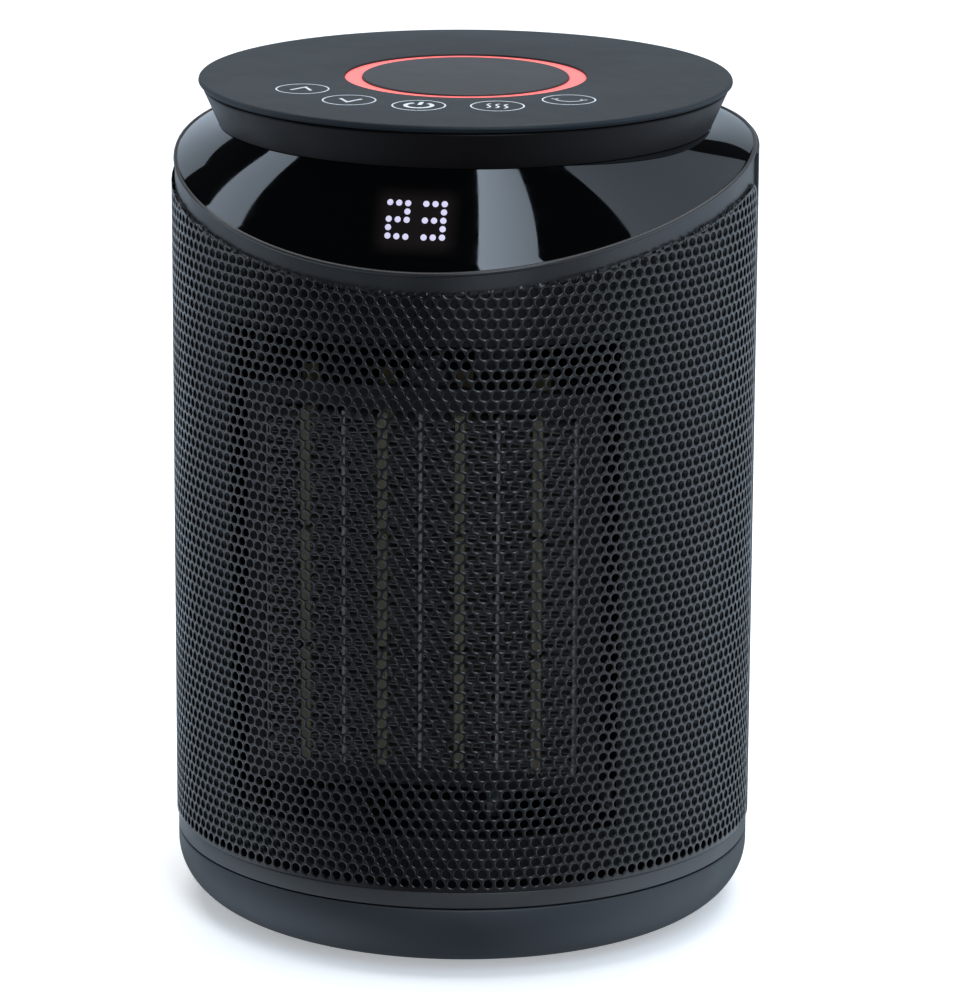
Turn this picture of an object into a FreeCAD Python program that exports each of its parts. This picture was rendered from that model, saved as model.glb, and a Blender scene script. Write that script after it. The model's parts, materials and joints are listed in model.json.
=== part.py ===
import FreeCAD, Part
import math
import os
from FreeCAD import Vector

# Ceramic fan heater: an upright round body that swivels on a low bowl-shaped base.
# Millimetres. The floor is z = 0, the swivel axis is Z and the front, where warm air leaves, faces -Y.
# Angles round the body are in degrees from the front, positive towards +X.

# Outer shape
BODY_R = 90.0                # grille and rear shell, outside
FRAME_R = 88.7               # front frame and fascia rim, outside
FRAME_WALL = 2.3
SHELL_WALL = 2.5
GRILLE_SHEET = 0.8
RING_R = 89.5                # lower ring and base bowl, outside
SHELL_BOTTOM = 28.2
FRAME_BOTTOM = 32.0
GRILLE_HALF_ANGLE = 92.0
SHELL_START_ANGLE = 92.8
GRILLE_CORNER_R = 9.0
SEAM = 0.3

# Edge curves: height above the floor at the front, rise towards the back, bow at the sides
GRILLE_TOP = (211.7, 10.8, 4.5)
RIM_CURVE = (217.6, 12.87, 4.29)

# Cap, skirt and fascia
NECK_R = 75.4
NECK_Z = 246.3
FASCIA_WALL = 2.3
FASCIA_BULGE = 0.045         # share of the profile's length
FASCIA_STEP = 15             # degrees between the fascia's lofted sections
RIM_UNDERCUT = 0.03          # rise of the rim's inner edge, as a share of the fascia's fall
SKIRT_TOP_R = 80.4
SKIRT_TOP_Z = 257.8
CAP_BOTTOM_Z = 258.1
CAP_TOP_Z = 260.5
CAP_LIP_R = 81.6
LED_RING_OUT_R = 37.0
LED_RING_IN_R = 32.3
LED_RING_DROP = 0.3
LED_FLANGE = 3.0
KEY_CIRCLE_R = 51.0
KEY_ANGLES = (-54.9, -29.4, -4.6, 22.3, 50.0)

# Display behind the fascia: dots on a square grid
DOT_PITCH = 2.8
DOT_R = 1.05
DISPLAY_R = 81.4
DISPLAY_Z = 233.0
DIGIT_ROWS = {
    "2": ("XXX", "  X", "XXX", "X  ", "XXX"),
    "3": ("XXX", "  X", "XXX", "  X", "XXX"),
}

# Base
BOWL_FLOOR_Z = 1.5
BOWL_FLOOR_R = 71.3
BOWL_SHOULDER_Z = 18.6
BOWL_TOP_Z = 22.3
BOWL_WALL = 2.5
FOOT_R = 8.0
FOOT_CIRCLE_R = 58.0
FOOT_TOP_Z = 3.0
BOSS_CIRCLE_R = 54.0
DECK_Z = (15.5, 18.0)
DECK_R = 85.5
RING_Z = (22.8, 28.0)

# Swivel drive
FLOOR_Z = (24.0, 26.5)
FLOOR_R = 86.3
HUB_R = 12.0
HUB_BORE_R = 8.0
HUB_CLEARANCE = 0.08
HUB_TOP_Z = 31.0
GLIDE_R = (70.0, 76.0)
GEAR_MODULE = 1.0
GEAR_TEETH = 56
PINION_TEETH = 14
GEAR_BACKLASH = 0.3
PRESSURE_ANGLE = 20.0
GEAR_Z = (18.0, 22.0)
PINION_Z = (18.5, 22.5)
PINION_SHAFT_R = 2.5
PINION_X, PINION_Y = 0.0, -GEAR_MODULE * (GEAR_TEETH + PINION_TEETH) / 2
SWIVEL_MOTOR_R = 14.0
SWIVEL_MOTOR_Z = (27.0, 44.0)

# Outlet window and heating element
WINDOW_HALF_ANGLE = 42.0
WINDOW_Z = (45.0, 196.0)
HEATER_Z = (61.0, 171.0)
HEATER_Y = (-71.0, -57.0)
BAR_PITCH = 23.5
BAR_W = 3.5
SEPARATOR_W = 1.0
HEATER_HALF_W = 47.5
SIDE_PLATE_W = 0.5
HEATER_FRAME_Y = (-66.0, -52.0)
HEATER_FRAME_HALF_W = 54.0
HEATER_FRAME_Z = (54.0, 178.0)
TERMINAL_Z = (171.0, 183.0)

# Fan and motor, on an axis along Y
FAN_Z = 116.0
DUCT_R = 50.0
DUCT_WALL = 2.5
DUCT_Y = (-52.0, -40.0, -14.0)
HUB_Y = (-38.0, -20.0)
FAN_HUB_R = 18.0
FAN_TIP_R = 48.3
BLADES = 7
BLADE_CHORD = 22.0
BLADE_THICKNESS = 1.6
BLADE_PITCH_ANGLE = 35.0
MOTOR_Y = (-10.0, 22.0)
MOTOR_R = 21.0
MOTOR_WALL = 1.5
SHAFT_R = 2.0
SHAFT_Y = (-37.0, 25.5)
RUNNING_CLEARANCE = 0.05
ROTOR_R = 12.2
ROTOR_Y = (-3.0, 15.0)

# Upper chassis, posts and boards
UPPER_Z = (238.0, 240.4)
UPPER_R = 72.0
POST_R = 4.5
POST_CIRCLE_R = 67.0
POST_ANGLES = (60.0, 115.0, 155.0, 205.0, 245.0, 300.0)
TOUCH_BOARD_Z = (250.0, 251.6)
TOUCH_BOARD_R = 68.0
POWER_BOARD_Z = (40.0, 41.6)
POWER_BOARD_HALF_X = 48.0
POWER_BOARD_Y = (2.0, 54.0)

# Rear intake, mains switch, cord gland and shell screws
LOUVRE_ROWS = 18
LOUVRE_PITCH = 6.0
LOUVRE_SLOT = 3.0
LOUVRE_FIRST_Z = 78.0
LOUVRE_COLUMNS = (152.0, 170.7, 189.3, 208.0)
LOUVRE_HALF_ANGLE = 8.2
FILTER_R = (84.4, 85.8)
SWITCH_Z = 52.0
SWITCH_HALF = (11.0, 13.0)   # half width along X, half height along Z
SWITCH_WALL = 1.5
SWITCH_FLANGE = 2.0
SWITCH_FLANGE_DEPTH = 1.3
ROCKER_PIVOT_Y = 84.6
ROCKER_HALF = (9.2, 10.0)
ROCKER_REST_TILT = 8.0
GLAND_X, GLAND_Z = -32.0, 42.0
GLAND_Y = (74.0, 88.0)
GLAND_R = 6.0
GLAND_BORE_R = 3.6
SHELL_SCREW_ANGLES = (115.0, 245.0)
SHELL_SCREW_Z = (36.0, 220.0)

# Tip-over switch
TIP_X, TIP_Y = -27.0, -53.0
TIP_HALF = (9.0, 10.0)
TIP_Z = (26.8, 50.0)
TIP_WALL = 1.5
TIP_PIVOT_Z = 45.5
TIP_ROD = 11.0
TIP_BOB_R = 3.5

REACH = 130.0                # longer than any part is wide, for cutters
X_AXIS, Y_AXIS, Z_AXIS = Vector(1, 0, 0), Vector(0, 1, 0), Vector(0, 0, 1)
ORIGIN = Vector(0, 0, 0)


def polar(radius, angle, z=0.0):
    """Point at an angle round the body, counted from the front."""
    turn = math.radians(angle)
    return Vector(radius * math.sin(turn), -radius * math.cos(turn), z)


def cylinder(radius, z_span, x=0.0, y=0.0):
    return Part.makeCylinder(radius, z_span[1] - z_span[0], Vector(x, y, z_span[0]))


def tube(inner, outer, z_span, x=0.0, y=0.0):
    return cylinder(outer, z_span, x, y).cut(cylinder(inner, z_span, x, y))


def rod_y(radius, y_span, x=0.0, z=FAN_Z):
    return Part.makeCylinder(radius, y_span[1] - y_span[0], Vector(x, y_span[0], z), Y_AXIS)


def tube_y(inner, outer, y_span, x=0.0, z=FAN_Z):
    return rod_y(outer, y_span, x, z).cut(rod_y(inner, y_span, x, z))


def block(x_span, y_span, z_span):
    size = [span[1] - span[0] for span in (x_span, y_span, z_span)]
    return Part.makeBox(*size, Vector(x_span[0], y_span[0], z_span[0]))


def slab(half_width, y_span, z_span, x=0.0):
    """Block centred on x."""
    return block((x - half_width, x + half_width), y_span, z_span)


def sector(inner, outer, z_span, start, end):
    """Part of a tube's wall, between two angles round the body."""
    height = z_span[1] - z_span[0]
    foot = Vector(0, 0, z_span[0])
    wall = Part.makeCylinder(outer, height, foot, Z_AXIS, end - start)
    wall = wall.cut(Part.makeCylinder(inner, height, foot, Z_AXIS, end - start))
    wall.rotate(ORIGIN, Z_AXIS, start - 90)
    return wall


def revolved(points):
    """Solid of revolution about Z from the corners (radius, z) of its half section."""
    corners = [Vector(r, 0, z) for r, z in points]
    outline = Part.makePolygon(corners + corners[:1])
    return Part.Face(outline).revolve(ORIGIN, Z_AXIS, 360)


def curve_height(curve, y, radius):
    """Height of an edge curve where it passes a given y on a cylinder of this radius."""
    front, rise, bow = curve
    return front + rise * (1 + y / radius) + 2 * bow * (1 - (y / radius) ** 2)


def below_curve(curve, radius, lowered=0.0):
    """Everything under an edge curve: seen from the side the curve is a parabola."""
    ends = [Vector(-REACH, y, curve_height(curve, y, radius) - lowered) for y in (-REACH, REACH)]
    middle = curve_height(curve, 0, radius) - lowered
    control = Vector(-REACH, 0, 2 * middle - (ends[0].z + ends[1].z) / 2)
    parabola = Part.BezierCurve()
    parabola.setPoles([ends[0], control, ends[1]])
    corners = [ends[1], Vector(-REACH, REACH, -REACH), Vector(-REACH, -REACH, -REACH), ends[0]]
    outline = Part.Wire([parabola.toShape()] + Part.makePolygon(corners).Edges)
    return Part.Face(outline).extrude(Vector(2 * REACH, 0, 0))


def gear_outline(teeth, turn):
    """Involute spur gear outline with three points to a flank, turned by an angle in degrees."""
    pitch_r = teeth * GEAR_MODULE / 2
    base_r = pitch_r * math.cos(math.radians(PRESSURE_ANGLE))
    root_r = pitch_r - 1.2 * GEAR_MODULE
    tip_r = pitch_r + 0.9 * GEAR_MODULE

    def involute(radius):
        pressure = math.acos(min(1.0, base_r / radius))
        return math.tan(pressure) - pressure

    def half_angle(radius):
        at_pitch = math.pi / (2 * teeth) - GEAR_BACKLASH / (2 * pitch_r)
        return at_pitch + involute(pitch_r) - involute(max(radius, base_r))

    points = []
    for tooth in range(teeth):
        centre = 2 * math.pi * tooth / teeth + math.radians(turn)
        for side, radii in ((-1, (root_r, pitch_r, tip_r)), (1, (tip_r, pitch_r, root_r))):
            for radius in radii:
                angle = centre + side * half_angle(radius)
                points.append(Vector(radius * math.cos(angle), radius * math.sin(angle), 0))
    return Part.makePolygon(points + points[:1])


def gear(teeth, turn, z_span):
    blank = Part.Face(gear_outline(teeth, turn)).extrude(Vector(0, 0, z_span[1] - z_span[0]))
    blank.translate(Vector(0, 0, z_span[0]))
    return blank


def screw(head_r, shank_r, length, head_height=2.0):
    """Pan-head screw with a cross recess, its head's seat at the origin, its shank along -Z."""
    body = cylinder(head_r, (0, head_height)).fuse(cylinder(shank_r, (-length, 0)))
    slot = Part.makeBox(head_r, 0.7, 1.0, Vector(-head_r / 2, -0.35, head_height - 1.0))
    cross = slot.copy()
    cross.rotate(ORIGIN, Z_AXIS, 90)
    return body.cut(slot.fuse(cross))


def on_circle(shape, radius, angles):
    """Copies of a shape moved out to a circle round the body, as a list."""
    copies = []
    for angle in angles:
        copy = shape.copy()
        copy.translate(polar(radius, angle))
        copies.append(copy)
    return copies


QUARTERS = (45.0, 135.0, 225.0, 315.0)


# ---------------------------------------------------------------- base

def bowl_outline(wall):
    """Half section of the bowl's outside, moved in by the wall's thickness."""
    floor_z = BOWL_FLOOR_Z + wall
    floor_r = BOWL_FLOOR_R - wall / 2
    side_r = RING_R - wall
    ellipse = Part.Ellipse(Vector(floor_r, 0, BOWL_SHOULDER_Z), side_r - floor_r, BOWL_SHOULDER_Z - floor_z)
    ellipse.Center = ORIGIN
    quarter = Part.ArcOfEllipse(ellipse, 1.5 * math.pi, 2 * math.pi).toShape()
    quarter.rotate(ORIGIN, X_AXIS, 90)
    quarter.translate(Vector(floor_r, 0, BOWL_SHOULDER_Z))
    corners = [
        Vector(side_r, 0, BOWL_SHOULDER_Z),
        Vector(side_r, 0, BOWL_TOP_Z + wall),
        Vector(0, 0, BOWL_TOP_Z + wall),
        Vector(0, 0, floor_z),
        Vector(floor_r, 0, floor_z),
    ]
    return Part.Wire([quarter] + Part.makePolygon(corners).Edges)


def bowl_solid(wall):
    return Part.Face(bowl_outline(wall)).revolve(ORIGIN, Z_AXIS, 360)


def base_bowl():
    """Bowl with a flat floor, four screw bosses and four pockets for the feet."""
    bowl = bowl_solid(0.0).cut(bowl_solid(BOWL_WALL))
    boss = cylinder(4.5, (BOWL_FLOOR_Z + BOWL_WALL - 0.5, DECK_Z[0]))
    pilot = cylinder(1.6, (BOWL_FLOOR_Z + BOWL_WALL + 1, DECK_Z[0]))
    pocket = cylinder(FOOT_R + 0.2, (0, FOOT_TOP_Z))
    for part in on_circle(boss, BOSS_CIRCLE_R, (0, 90, 180, 270)):
        bowl = bowl.fuse(part)
    cutters = on_circle(pilot, BOSS_CIRCLE_R, (0, 90, 180, 270))
    cutters += on_circle(pocket, FOOT_CIRCLE_R, QUARTERS)
    return bowl.cut(Part.makeCompound(cutters))


def rubber_feet():
    foot = cylinder(FOOT_R, (0, FOOT_TOP_Z))
    foot = foot.makeChamfer(0.6, [foot.Edges[2]])
    return Part.makeCompound(on_circle(foot, FOOT_CIRCLE_R, QUARTERS))


def base_deck():
    """Disc that closes the bowl and carries the gear, the hub and the glide ring."""
    deck = cylinder(DECK_R, DECK_Z)
    holes = on_circle(cylinder(1.8, DECK_Z), BOSS_CIRCLE_R, (0, 90, 180, 270))
    return deck.cut(Part.makeCompound(holes + [cylinder(HUB_BORE_R, DECK_Z)]))


def base_screws():
    fastener = screw(3.2, 1.5, 10.0)
    fastener.translate(Vector(0, 0, DECK_Z[1]))
    return Part.makeCompound(on_circle(fastener, BOSS_CIRCLE_R, (0, 90, 180, 270)))


def glide_ring():
    return tube(*GLIDE_R, (DECK_Z[1], FLOOR_Z[0] - SEAM))


def pivot_hub():
    """Hollow post that the body turns on, with a foot flange under the gear's bore."""
    post = cylinder(HUB_R, (DECK_Z[1], HUB_TOP_Z)).fuse(cylinder(18.0, (DECK_Z[1], DECK_Z[1] + 2)))
    groove = tube(HUB_R - 1.0, HUB_R + 1.0, (FLOOR_Z[1] + SEAM, FLOOR_Z[1] + SEAM + 2))
    return post.cut(cylinder(HUB_BORE_R, (DECK_Z[1], HUB_TOP_Z))).cut(groove)


def pivot_retainer():
    """Split ring in the hub's groove that stops the body lifting off."""
    ring = tube(HUB_R - 0.9, HUB_R + 4, (FLOOR_Z[1] + SEAM + 0.1, FLOOR_Z[1] + SEAM + 1.9))
    return ring.cut(block((-1.5, 1.5), (0, REACH), (0, REACH)))


def swivel_gear():
    return gear(GEAR_TEETH, -90.0, GEAR_Z).cut(cylinder(18.5, GEAR_Z))


def drive_pinion():
    """Small gear on the swivel motor's shaft, in mesh with the fixed gear."""
    half_tooth = 180.0 / PINION_TEETH
    pinion = gear(PINION_TEETH, 90.0 + half_tooth, PINION_Z)
    pinion = pinion.fuse(cylinder(PINION_SHAFT_R, (PINION_Z[1], SWIVEL_MOTOR_Z[0] + 8)))
    pinion.translate(Vector(PINION_X, PINION_Y, 0))
    return pinion


def swivel_motor():
    """Flat geared motor with two screw ears."""
    can = cylinder(SWIVEL_MOTOR_R, SWIVEL_MOTOR_Z)
    ears = slab(21.0, (-3.5, 3.5), (SWIVEL_MOTOR_Z[0], SWIVEL_MOTOR_Z[0] + 1.5))
    for side in (-17.5, 17.5):
        ears = ears.cut(cylinder(1.8, SWIVEL_MOTOR_Z, side))
    motor = can.fuse(ears).cut(cylinder(PINION_SHAFT_R + RUNNING_CLEARANCE, (0, SWIVEL_MOTOR_Z[0] + 9)))
    motor.translate(Vector(PINION_X, PINION_Y, 0))
    return motor


# ---------------------------------------------------------------- turning body: chassis

def lower_ring():
    return tube(FLOOR_R + 0.2, RING_R, RING_Z)


def chassis_floor():
    """Floor of the turning body, running on the hub."""
    plate = cylinder(FLOOR_R, FLOOR_Z).cut(cylinder(HUB_R + HUB_CLEARANCE, FLOOR_Z))
    return plate.cut(cylinder(PINION_SHAFT_R + 1, FLOOR_Z, PINION_X, PINION_Y))


def upper_chassis():
    """Disc under the cap skirt, with a slot for the ribbon cable and holes over the posts."""
    disc = cylinder(UPPER_R, UPPER_Z)
    holes = on_circle(cylinder(1.8, UPPER_Z), POST_CIRCLE_R, POST_ANGLES)
    return disc.cut(Part.makeCompound(holes)).cut(slab(9.5, (58.5, 62.5), UPPER_Z))


def chassis_posts():
    """Six posts between the floor and the upper chassis, drilled for screws."""
    post = cylinder(POST_R, (FLOOR_Z[1], UPPER_Z[0])).cut(cylinder(1.6, (UPPER_Z[0] - 14, UPPER_Z[0])))
    posts = Part.makeCompound(on_circle(post, POST_CIRCLE_R, POST_ANGLES))
    return posts.cut(Part.makeCompound(shell_screw_holes(1.6)))


def post_screws():
    fastener = screw(3.2, 1.5, 12.0)
    fastener.translate(Vector(0, 0, UPPER_Z[1]))
    return Part.makeCompound(on_circle(fastener, POST_CIRCLE_R, POST_ANGLES))


# ---------------------------------------------------------------- turning body: outside

def front_frame():
    """Curved wall behind the grille with the outlet window; its top edge shows as a trim band."""
    wall = sector(FRAME_R - FRAME_WALL, FRAME_R, (FRAME_BOTTOM, REACH * 2), -GRILLE_HALF_ANGLE,
                  GRILLE_HALF_ANGLE)
    wall = wall.common(below_curve(RIM_CURVE, FRAME_R, SEAM))
    window = sector(REACH / 2, REACH, WINDOW_Z, -WINDOW_HALF_ANGLE, WINDOW_HALF_ANGLE)
    return wall.cut(window)


def grille_corner(side):
    """What the rounded upper corner of the grille leaves out."""
    edge_angle = side * GRILLE_HALF_ANGLE
    edge_y = polar(BODY_R, edge_angle).y
    top = curve_height(GRILLE_TOP, edge_y, BODY_R)
    centre_z = top - GRILLE_CORNER_R
    corner = block((BODY_R - 6, BODY_R + 6), (-GRILLE_CORNER_R, 4), (centre_z, top + 6))
    round_bar = Part.makeCylinder(GRILLE_CORNER_R, REACH, Vector(0, -GRILLE_CORNER_R, centre_z), X_AXIS)
    corner = corner.cut(round_bar)
    if side < 0:
        corner = corner.mirror(ORIGIN, X_AXIS)
    corner.rotate(ORIGIN, Z_AXIS, edge_angle - side * 90)
    return corner


def front_grille():
    """Outer curved sheet; its round perforations are too many and too small for this model."""
    sheet = sector(BODY_R - GRILLE_SHEET, BODY_R, (SHELL_BOTTOM, REACH * 2), -GRILLE_HALF_ANGLE,
                   GRILLE_HALF_ANGLE)
    sheet = sheet.common(below_curve(GRILLE_TOP, BODY_R))
    for side in (-1, 1):
        sheet = sheet.cut(grille_corner(side))
    return sheet


def louvre_slots():
    slots = []
    for row in range(LOUVRE_ROWS):
        z = LOUVRE_FIRST_Z + row * LOUVRE_PITCH
        for middle in LOUVRE_COLUMNS:
            slots.append(sector(BODY_R - 6, BODY_R + 4, (z, z + LOUVRE_SLOT),
                                middle - LOUVRE_HALF_ANGLE, middle + LOUVRE_HALF_ANGLE))
    return slots


def shell_screw_holes(radius):
    """Radial bars through the rear shell into the posts."""
    bars = []
    for angle in SHELL_SCREW_ANGLES:
        for z in SHELL_SCREW_Z:
            outward = polar(1.0, angle)
            bars.append(Part.makeCylinder(radius, 30, polar(POST_CIRCLE_R - 2, angle, z), outward))
    return bars


def switch_flange(gap):
    """Curved plate round the mains switch, sunk flush into the shell, grown by a gap."""
    half_x, half_z = SWITCH_HALF
    reach_z = half_z + SWITCH_FLANGE + gap
    plate = tube(BODY_R - SWITCH_FLANGE_DEPTH - gap, BODY_R + gap, (0, REACH))
    z_span = (SWITCH_Z - reach_z, SWITCH_Z + reach_z)
    return plate.common(slab(half_x + SWITCH_FLANGE + gap, (0, REACH), z_span))


def rear_shell():
    """Back half of the body with intake louvres and openings for the switch and the gland."""
    wall = sector(BODY_R - SHELL_WALL, BODY_R, (SHELL_BOTTOM, REACH * 2), SHELL_START_ANGLE,
                  360 - SHELL_START_ANGLE)
    wall = wall.common(below_curve(RIM_CURVE, BODY_R, 2 * SEAM))
    half_x, half_z = SWITCH_HALF
    z_span = (SWITCH_Z - half_z - 0.2, SWITCH_Z + half_z + 0.2)
    switch_hole = slab(half_x + 0.2, (BODY_R - 10, BODY_R + 4), z_span).fuse(switch_flange(0.1))
    gland_hole = rod_y(GLAND_R + 0.2, (70, REACH), GLAND_X, GLAND_Z)
    cutters = louvre_slots() + shell_screw_holes(3.2) + [switch_hole, gland_hole]
    return wall.cut(Part.makeCompound(cutters))


def shell_screws():
    """Four screws through the rear shell into the posts, heads flush with the shell."""
    screws = []
    for angle in SHELL_SCREW_ANGLES:
        for z in SHELL_SCREW_Z:
            fastener = screw(3.0, 1.5, 22.0)
            fastener.rotate(ORIGIN, Y_AXIS, 90)
            fastener.rotate(ORIGIN, Z_AXIS, angle - 90)
            fastener.translate(polar(BODY_R - 2.4, angle, z))
            screws.append(fastener)
    return Part.makeCompound(screws)


def dust_filter():
    lowest = LOUVRE_FIRST_Z - LOUVRE_PITCH
    height = (LOUVRE_ROWS + 1) * LOUVRE_PITCH
    first = LOUVRE_COLUMNS[0] - LOUVRE_HALF_ANGLE - 2
    last = LOUVRE_COLUMNS[-1] + LOUVRE_HALF_ANGLE + 2
    return sector(*FILTER_R, (lowest, lowest + height), first, last)


def fascia_section(angle):
    """Closed section of the fascia's wall in the half plane at this angle."""
    rim_y = polar(FRAME_R, angle).y
    rim_z = curve_height(RIM_CURVE, rim_y, FRAME_R)

    def arc(r_top, z_top, r_low, z_low):
        length = math.hypot(r_low - r_top, z_top - z_low)
        bulge = FASCIA_BULGE * length
        r_mid = (r_top + r_low) / 2 + bulge * (z_top - z_low) / length
        z_mid = (z_top + z_low) / 2 + bulge * (r_low - r_top) / length
        ends = [polar(r_top, angle, z_top), polar(r_low, angle, z_low)]
        return Part.Arc(ends[0], polar(r_mid, angle, z_mid), ends[1]).toShape()

    inner_r, inner_z = NECK_R - FASCIA_WALL, NECK_Z - FASCIA_WALL
    lip_r = FRAME_R - FASCIA_WALL
    lip_z = rim_z + RIM_UNDERCUT * (NECK_Z - rim_z)
    outer = arc(NECK_R, NECK_Z, FRAME_R, rim_z)
    inner = arc(inner_r, inner_z, lip_r, lip_z)
    lip = Part.makeLine(polar(FRAME_R, angle, rim_z), polar(lip_r, angle, lip_z))
    neck = Part.makeLine(polar(inner_r, angle, inner_z), polar(NECK_R, angle, NECK_Z))
    return Part.Wire([outer, lip, inner, neck])


def gloss_fascia():
    """Glossy collar that falls from the round neck to a rim that dips at the front."""
    sections = [fascia_section(angle) for angle in range(0, 181, FASCIA_STEP)]
    half = Part.makeLoft(sections, True, False)
    return half.fuse(half.mirror(ORIGIN, X_AXIS))


def cap_skirt():
    """Inverted cone between the fascia's neck and the cap."""
    return revolved([
        (SKIRT_TOP_R, SKIRT_TOP_Z),
        (NECK_R, NECK_Z + 0.2),
        (NECK_R - 2.6, NECK_Z + 0.2),
        (NECK_R - 2.6, UPPER_Z[1] + 0.2),
        (NECK_R - 4.8, UPPER_Z[1] + 0.2),
        (NECK_R - 4.8, NECK_Z + 1.7),
        (SKIRT_TOP_R - 2.6, SKIRT_TOP_Z),
    ])


def touch_cap():
    """Flat cap with a rounded lip and a round opening for the light ring."""
    lip = Part.Arc(Vector(SKIRT_TOP_R, 0, CAP_BOTTOM_Z),
                   Vector(CAP_LIP_R, 0, (CAP_BOTTOM_Z + CAP_TOP_Z) / 2 - 0.1),
                   Vector(SKIRT_TOP_R + 0.2, 0, CAP_TOP_Z)).toShape()
    corners = [
        Vector(SKIRT_TOP_R + 0.2, 0, CAP_TOP_Z),
        Vector(LED_RING_OUT_R, 0, CAP_TOP_Z),
        Vector(LED_RING_OUT_R, 0, CAP_BOTTOM_Z),
        Vector(SKIRT_TOP_R, 0, CAP_BOTTOM_Z),
    ]
    outline = Part.Wire([lip] + Part.makePolygon(corners).Edges)
    return Part.Face(outline).revolve(ORIGIN, Z_AXIS, 360)


def led_ring():
    """Translucent ring with a flange that holds the centre disc and the cap together."""
    inner, outer = LED_RING_IN_R + 0.2, LED_RING_OUT_R - 0.2
    bottom = CAP_BOTTOM_Z - 2
    flange_top = CAP_BOTTOM_Z - 0.1
    return revolved([
        (inner, CAP_TOP_Z - LED_RING_DROP),
        (inner, flange_top),
        (inner - LED_FLANGE, flange_top),
        (inner - LED_FLANGE, bottom),
        (outer + LED_FLANGE, bottom),
        (outer + LED_FLANGE, flange_top),
        (outer, flange_top),
        (outer, CAP_TOP_Z - LED_RING_DROP),
    ])


def centre_disc():
    disc = cylinder(LED_RING_IN_R, (CAP_BOTTOM_Z, CAP_TOP_Z))
    return disc.makeFillet(0.4, [disc.Edges[0]])


# ---------------------------------------------------------------- turning body: controls

def touch_board():
    board = cylinder(TOUCH_BOARD_R, TOUCH_BOARD_Z).cut(cylinder(6, TOUCH_BOARD_Z))
    return board.cut(slab(9.5, (58.5, 62.5), TOUCH_BOARD_Z))


def touch_springs():
    """Contact springs that press the five touch pads against the cap, as plain posts."""
    spring = tube(2.2, 3.2, (TOUCH_BOARD_Z[1], CAP_BOTTOM_Z - 0.1))
    return Part.makeCompound(on_circle(spring, KEY_CIRCLE_R, KEY_ANGLES))


def ring_leds():
    chip = block((-1.4, 1.4), (-1.4, 1.4), (TOUCH_BOARD_Z[1], TOUCH_BOARD_Z[1] + 1.6))
    middle = (LED_RING_IN_R + LED_RING_OUT_R) / 2
    return Part.makeCompound(on_circle(chip, middle, range(0, 360, 30)))


def facing_display(shape):
    """Move a shape made on the XY plane so that it lies behind the fascia's front, facing out."""
    rim_z = RIM_CURVE[0]
    lean = math.degrees(math.atan2(FRAME_R - NECK_R, NECK_Z - rim_z))
    shape.rotate(ORIGIN, X_AXIS, 90 - lean)
    shape.translate(Vector(0, -DISPLAY_R, DISPLAY_Z))
    return shape


def display_board():
    return facing_display(block((-19, 19), (-10, 8), (-9, -7.8)))


def display_dots():
    """Centres of the lit dots of a two-digit display, in its own plane."""
    centres = []
    for place, rows in zip((-2.5, 1.5), (DIGIT_ROWS["2"], DIGIT_ROWS["3"])):
        for row, line in enumerate(rows):
            for column, mark in enumerate(line):
                if mark == "X":
                    centres.append(((place + column - 0.5) * DOT_PITCH, (2 - row) * DOT_PITCH))
    return centres


def display_leds():
    return facing_display(Part.makeCompound([cylinder(DOT_R, (-7.7, -5.0), x, y) for x, y in display_dots()]))


def power_board():
    board = slab(POWER_BOARD_HALF_X, POWER_BOARD_Y, POWER_BOARD_Z)
    return board.cut(Part.makeCompound([cylinder(1.8, POWER_BOARD_Z, x, y) for x, y in board_corners()]))


def board_corners():
    low, high = POWER_BOARD_Y
    inset = 5.0
    return [(x, y) for x in (inset - POWER_BOARD_HALF_X, POWER_BOARD_HALF_X - inset)
            for y in (low + inset, high - inset)]


def board_standoffs():
    spacer_z = (FLOOR_Z[1], POWER_BOARD_Z[0])
    return Part.makeCompound([tube(1.6, 3.5, spacer_z, x, y) for x, y in board_corners()])


def relays():
    z_span = (POWER_BOARD_Z[1], POWER_BOARD_Z[1] + 15)
    return Part.makeCompound([block((x, x + 19), (8, 23), z_span) for x in (-36, -14)])


def filter_capacitor():
    z_span = (POWER_BOARD_Z[1], POWER_BOARD_Z[1] + 20)
    can = cylinder(7.5, z_span, 18, 16)
    return can.makeFillet(1.0, [can.Edges[0]])


def supply_transformer():
    """Small laminated transformer with its bobbin."""
    low = POWER_BOARD_Z[1]
    core = block((-38, -10), (28, 46), (low, low + 22))
    window = block((-33, -15), (26, 48), (low + 5, low + 17))
    return core.cut(window).fuse(block((-29, -19), (26.5, 47.5), (low + 3, low + 19)))


def ribbon_cable():
    return slab(8.0, (60.0, 60.8), (FLOOR_Z[1] + 5, TOUCH_BOARD_Z[0] + 3))


def tip_switch_box():
    """Closed box round the tip-over pendulum, with a bearing hole in each end wall."""
    half_x, half_y = TIP_HALF
    outer = block((TIP_X - half_x, TIP_X + half_x), (TIP_Y - half_y, TIP_Y + half_y), TIP_Z)
    inner = block((TIP_X - half_x + TIP_WALL, TIP_X + half_x - TIP_WALL),
                  (TIP_Y - half_y + TIP_WALL, TIP_Y + half_y - TIP_WALL),
                  (TIP_Z[0] + TIP_WALL, TIP_Z[1] - TIP_WALL))
    bearing = Part.makeCylinder(1.2 + RUNNING_CLEARANCE, 4 * half_x,
                                Vector(TIP_X - 2 * half_x, TIP_Y, TIP_PIVOT_Z), X_AXIS)
    return outer.cut(inner).cut(bearing)


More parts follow.
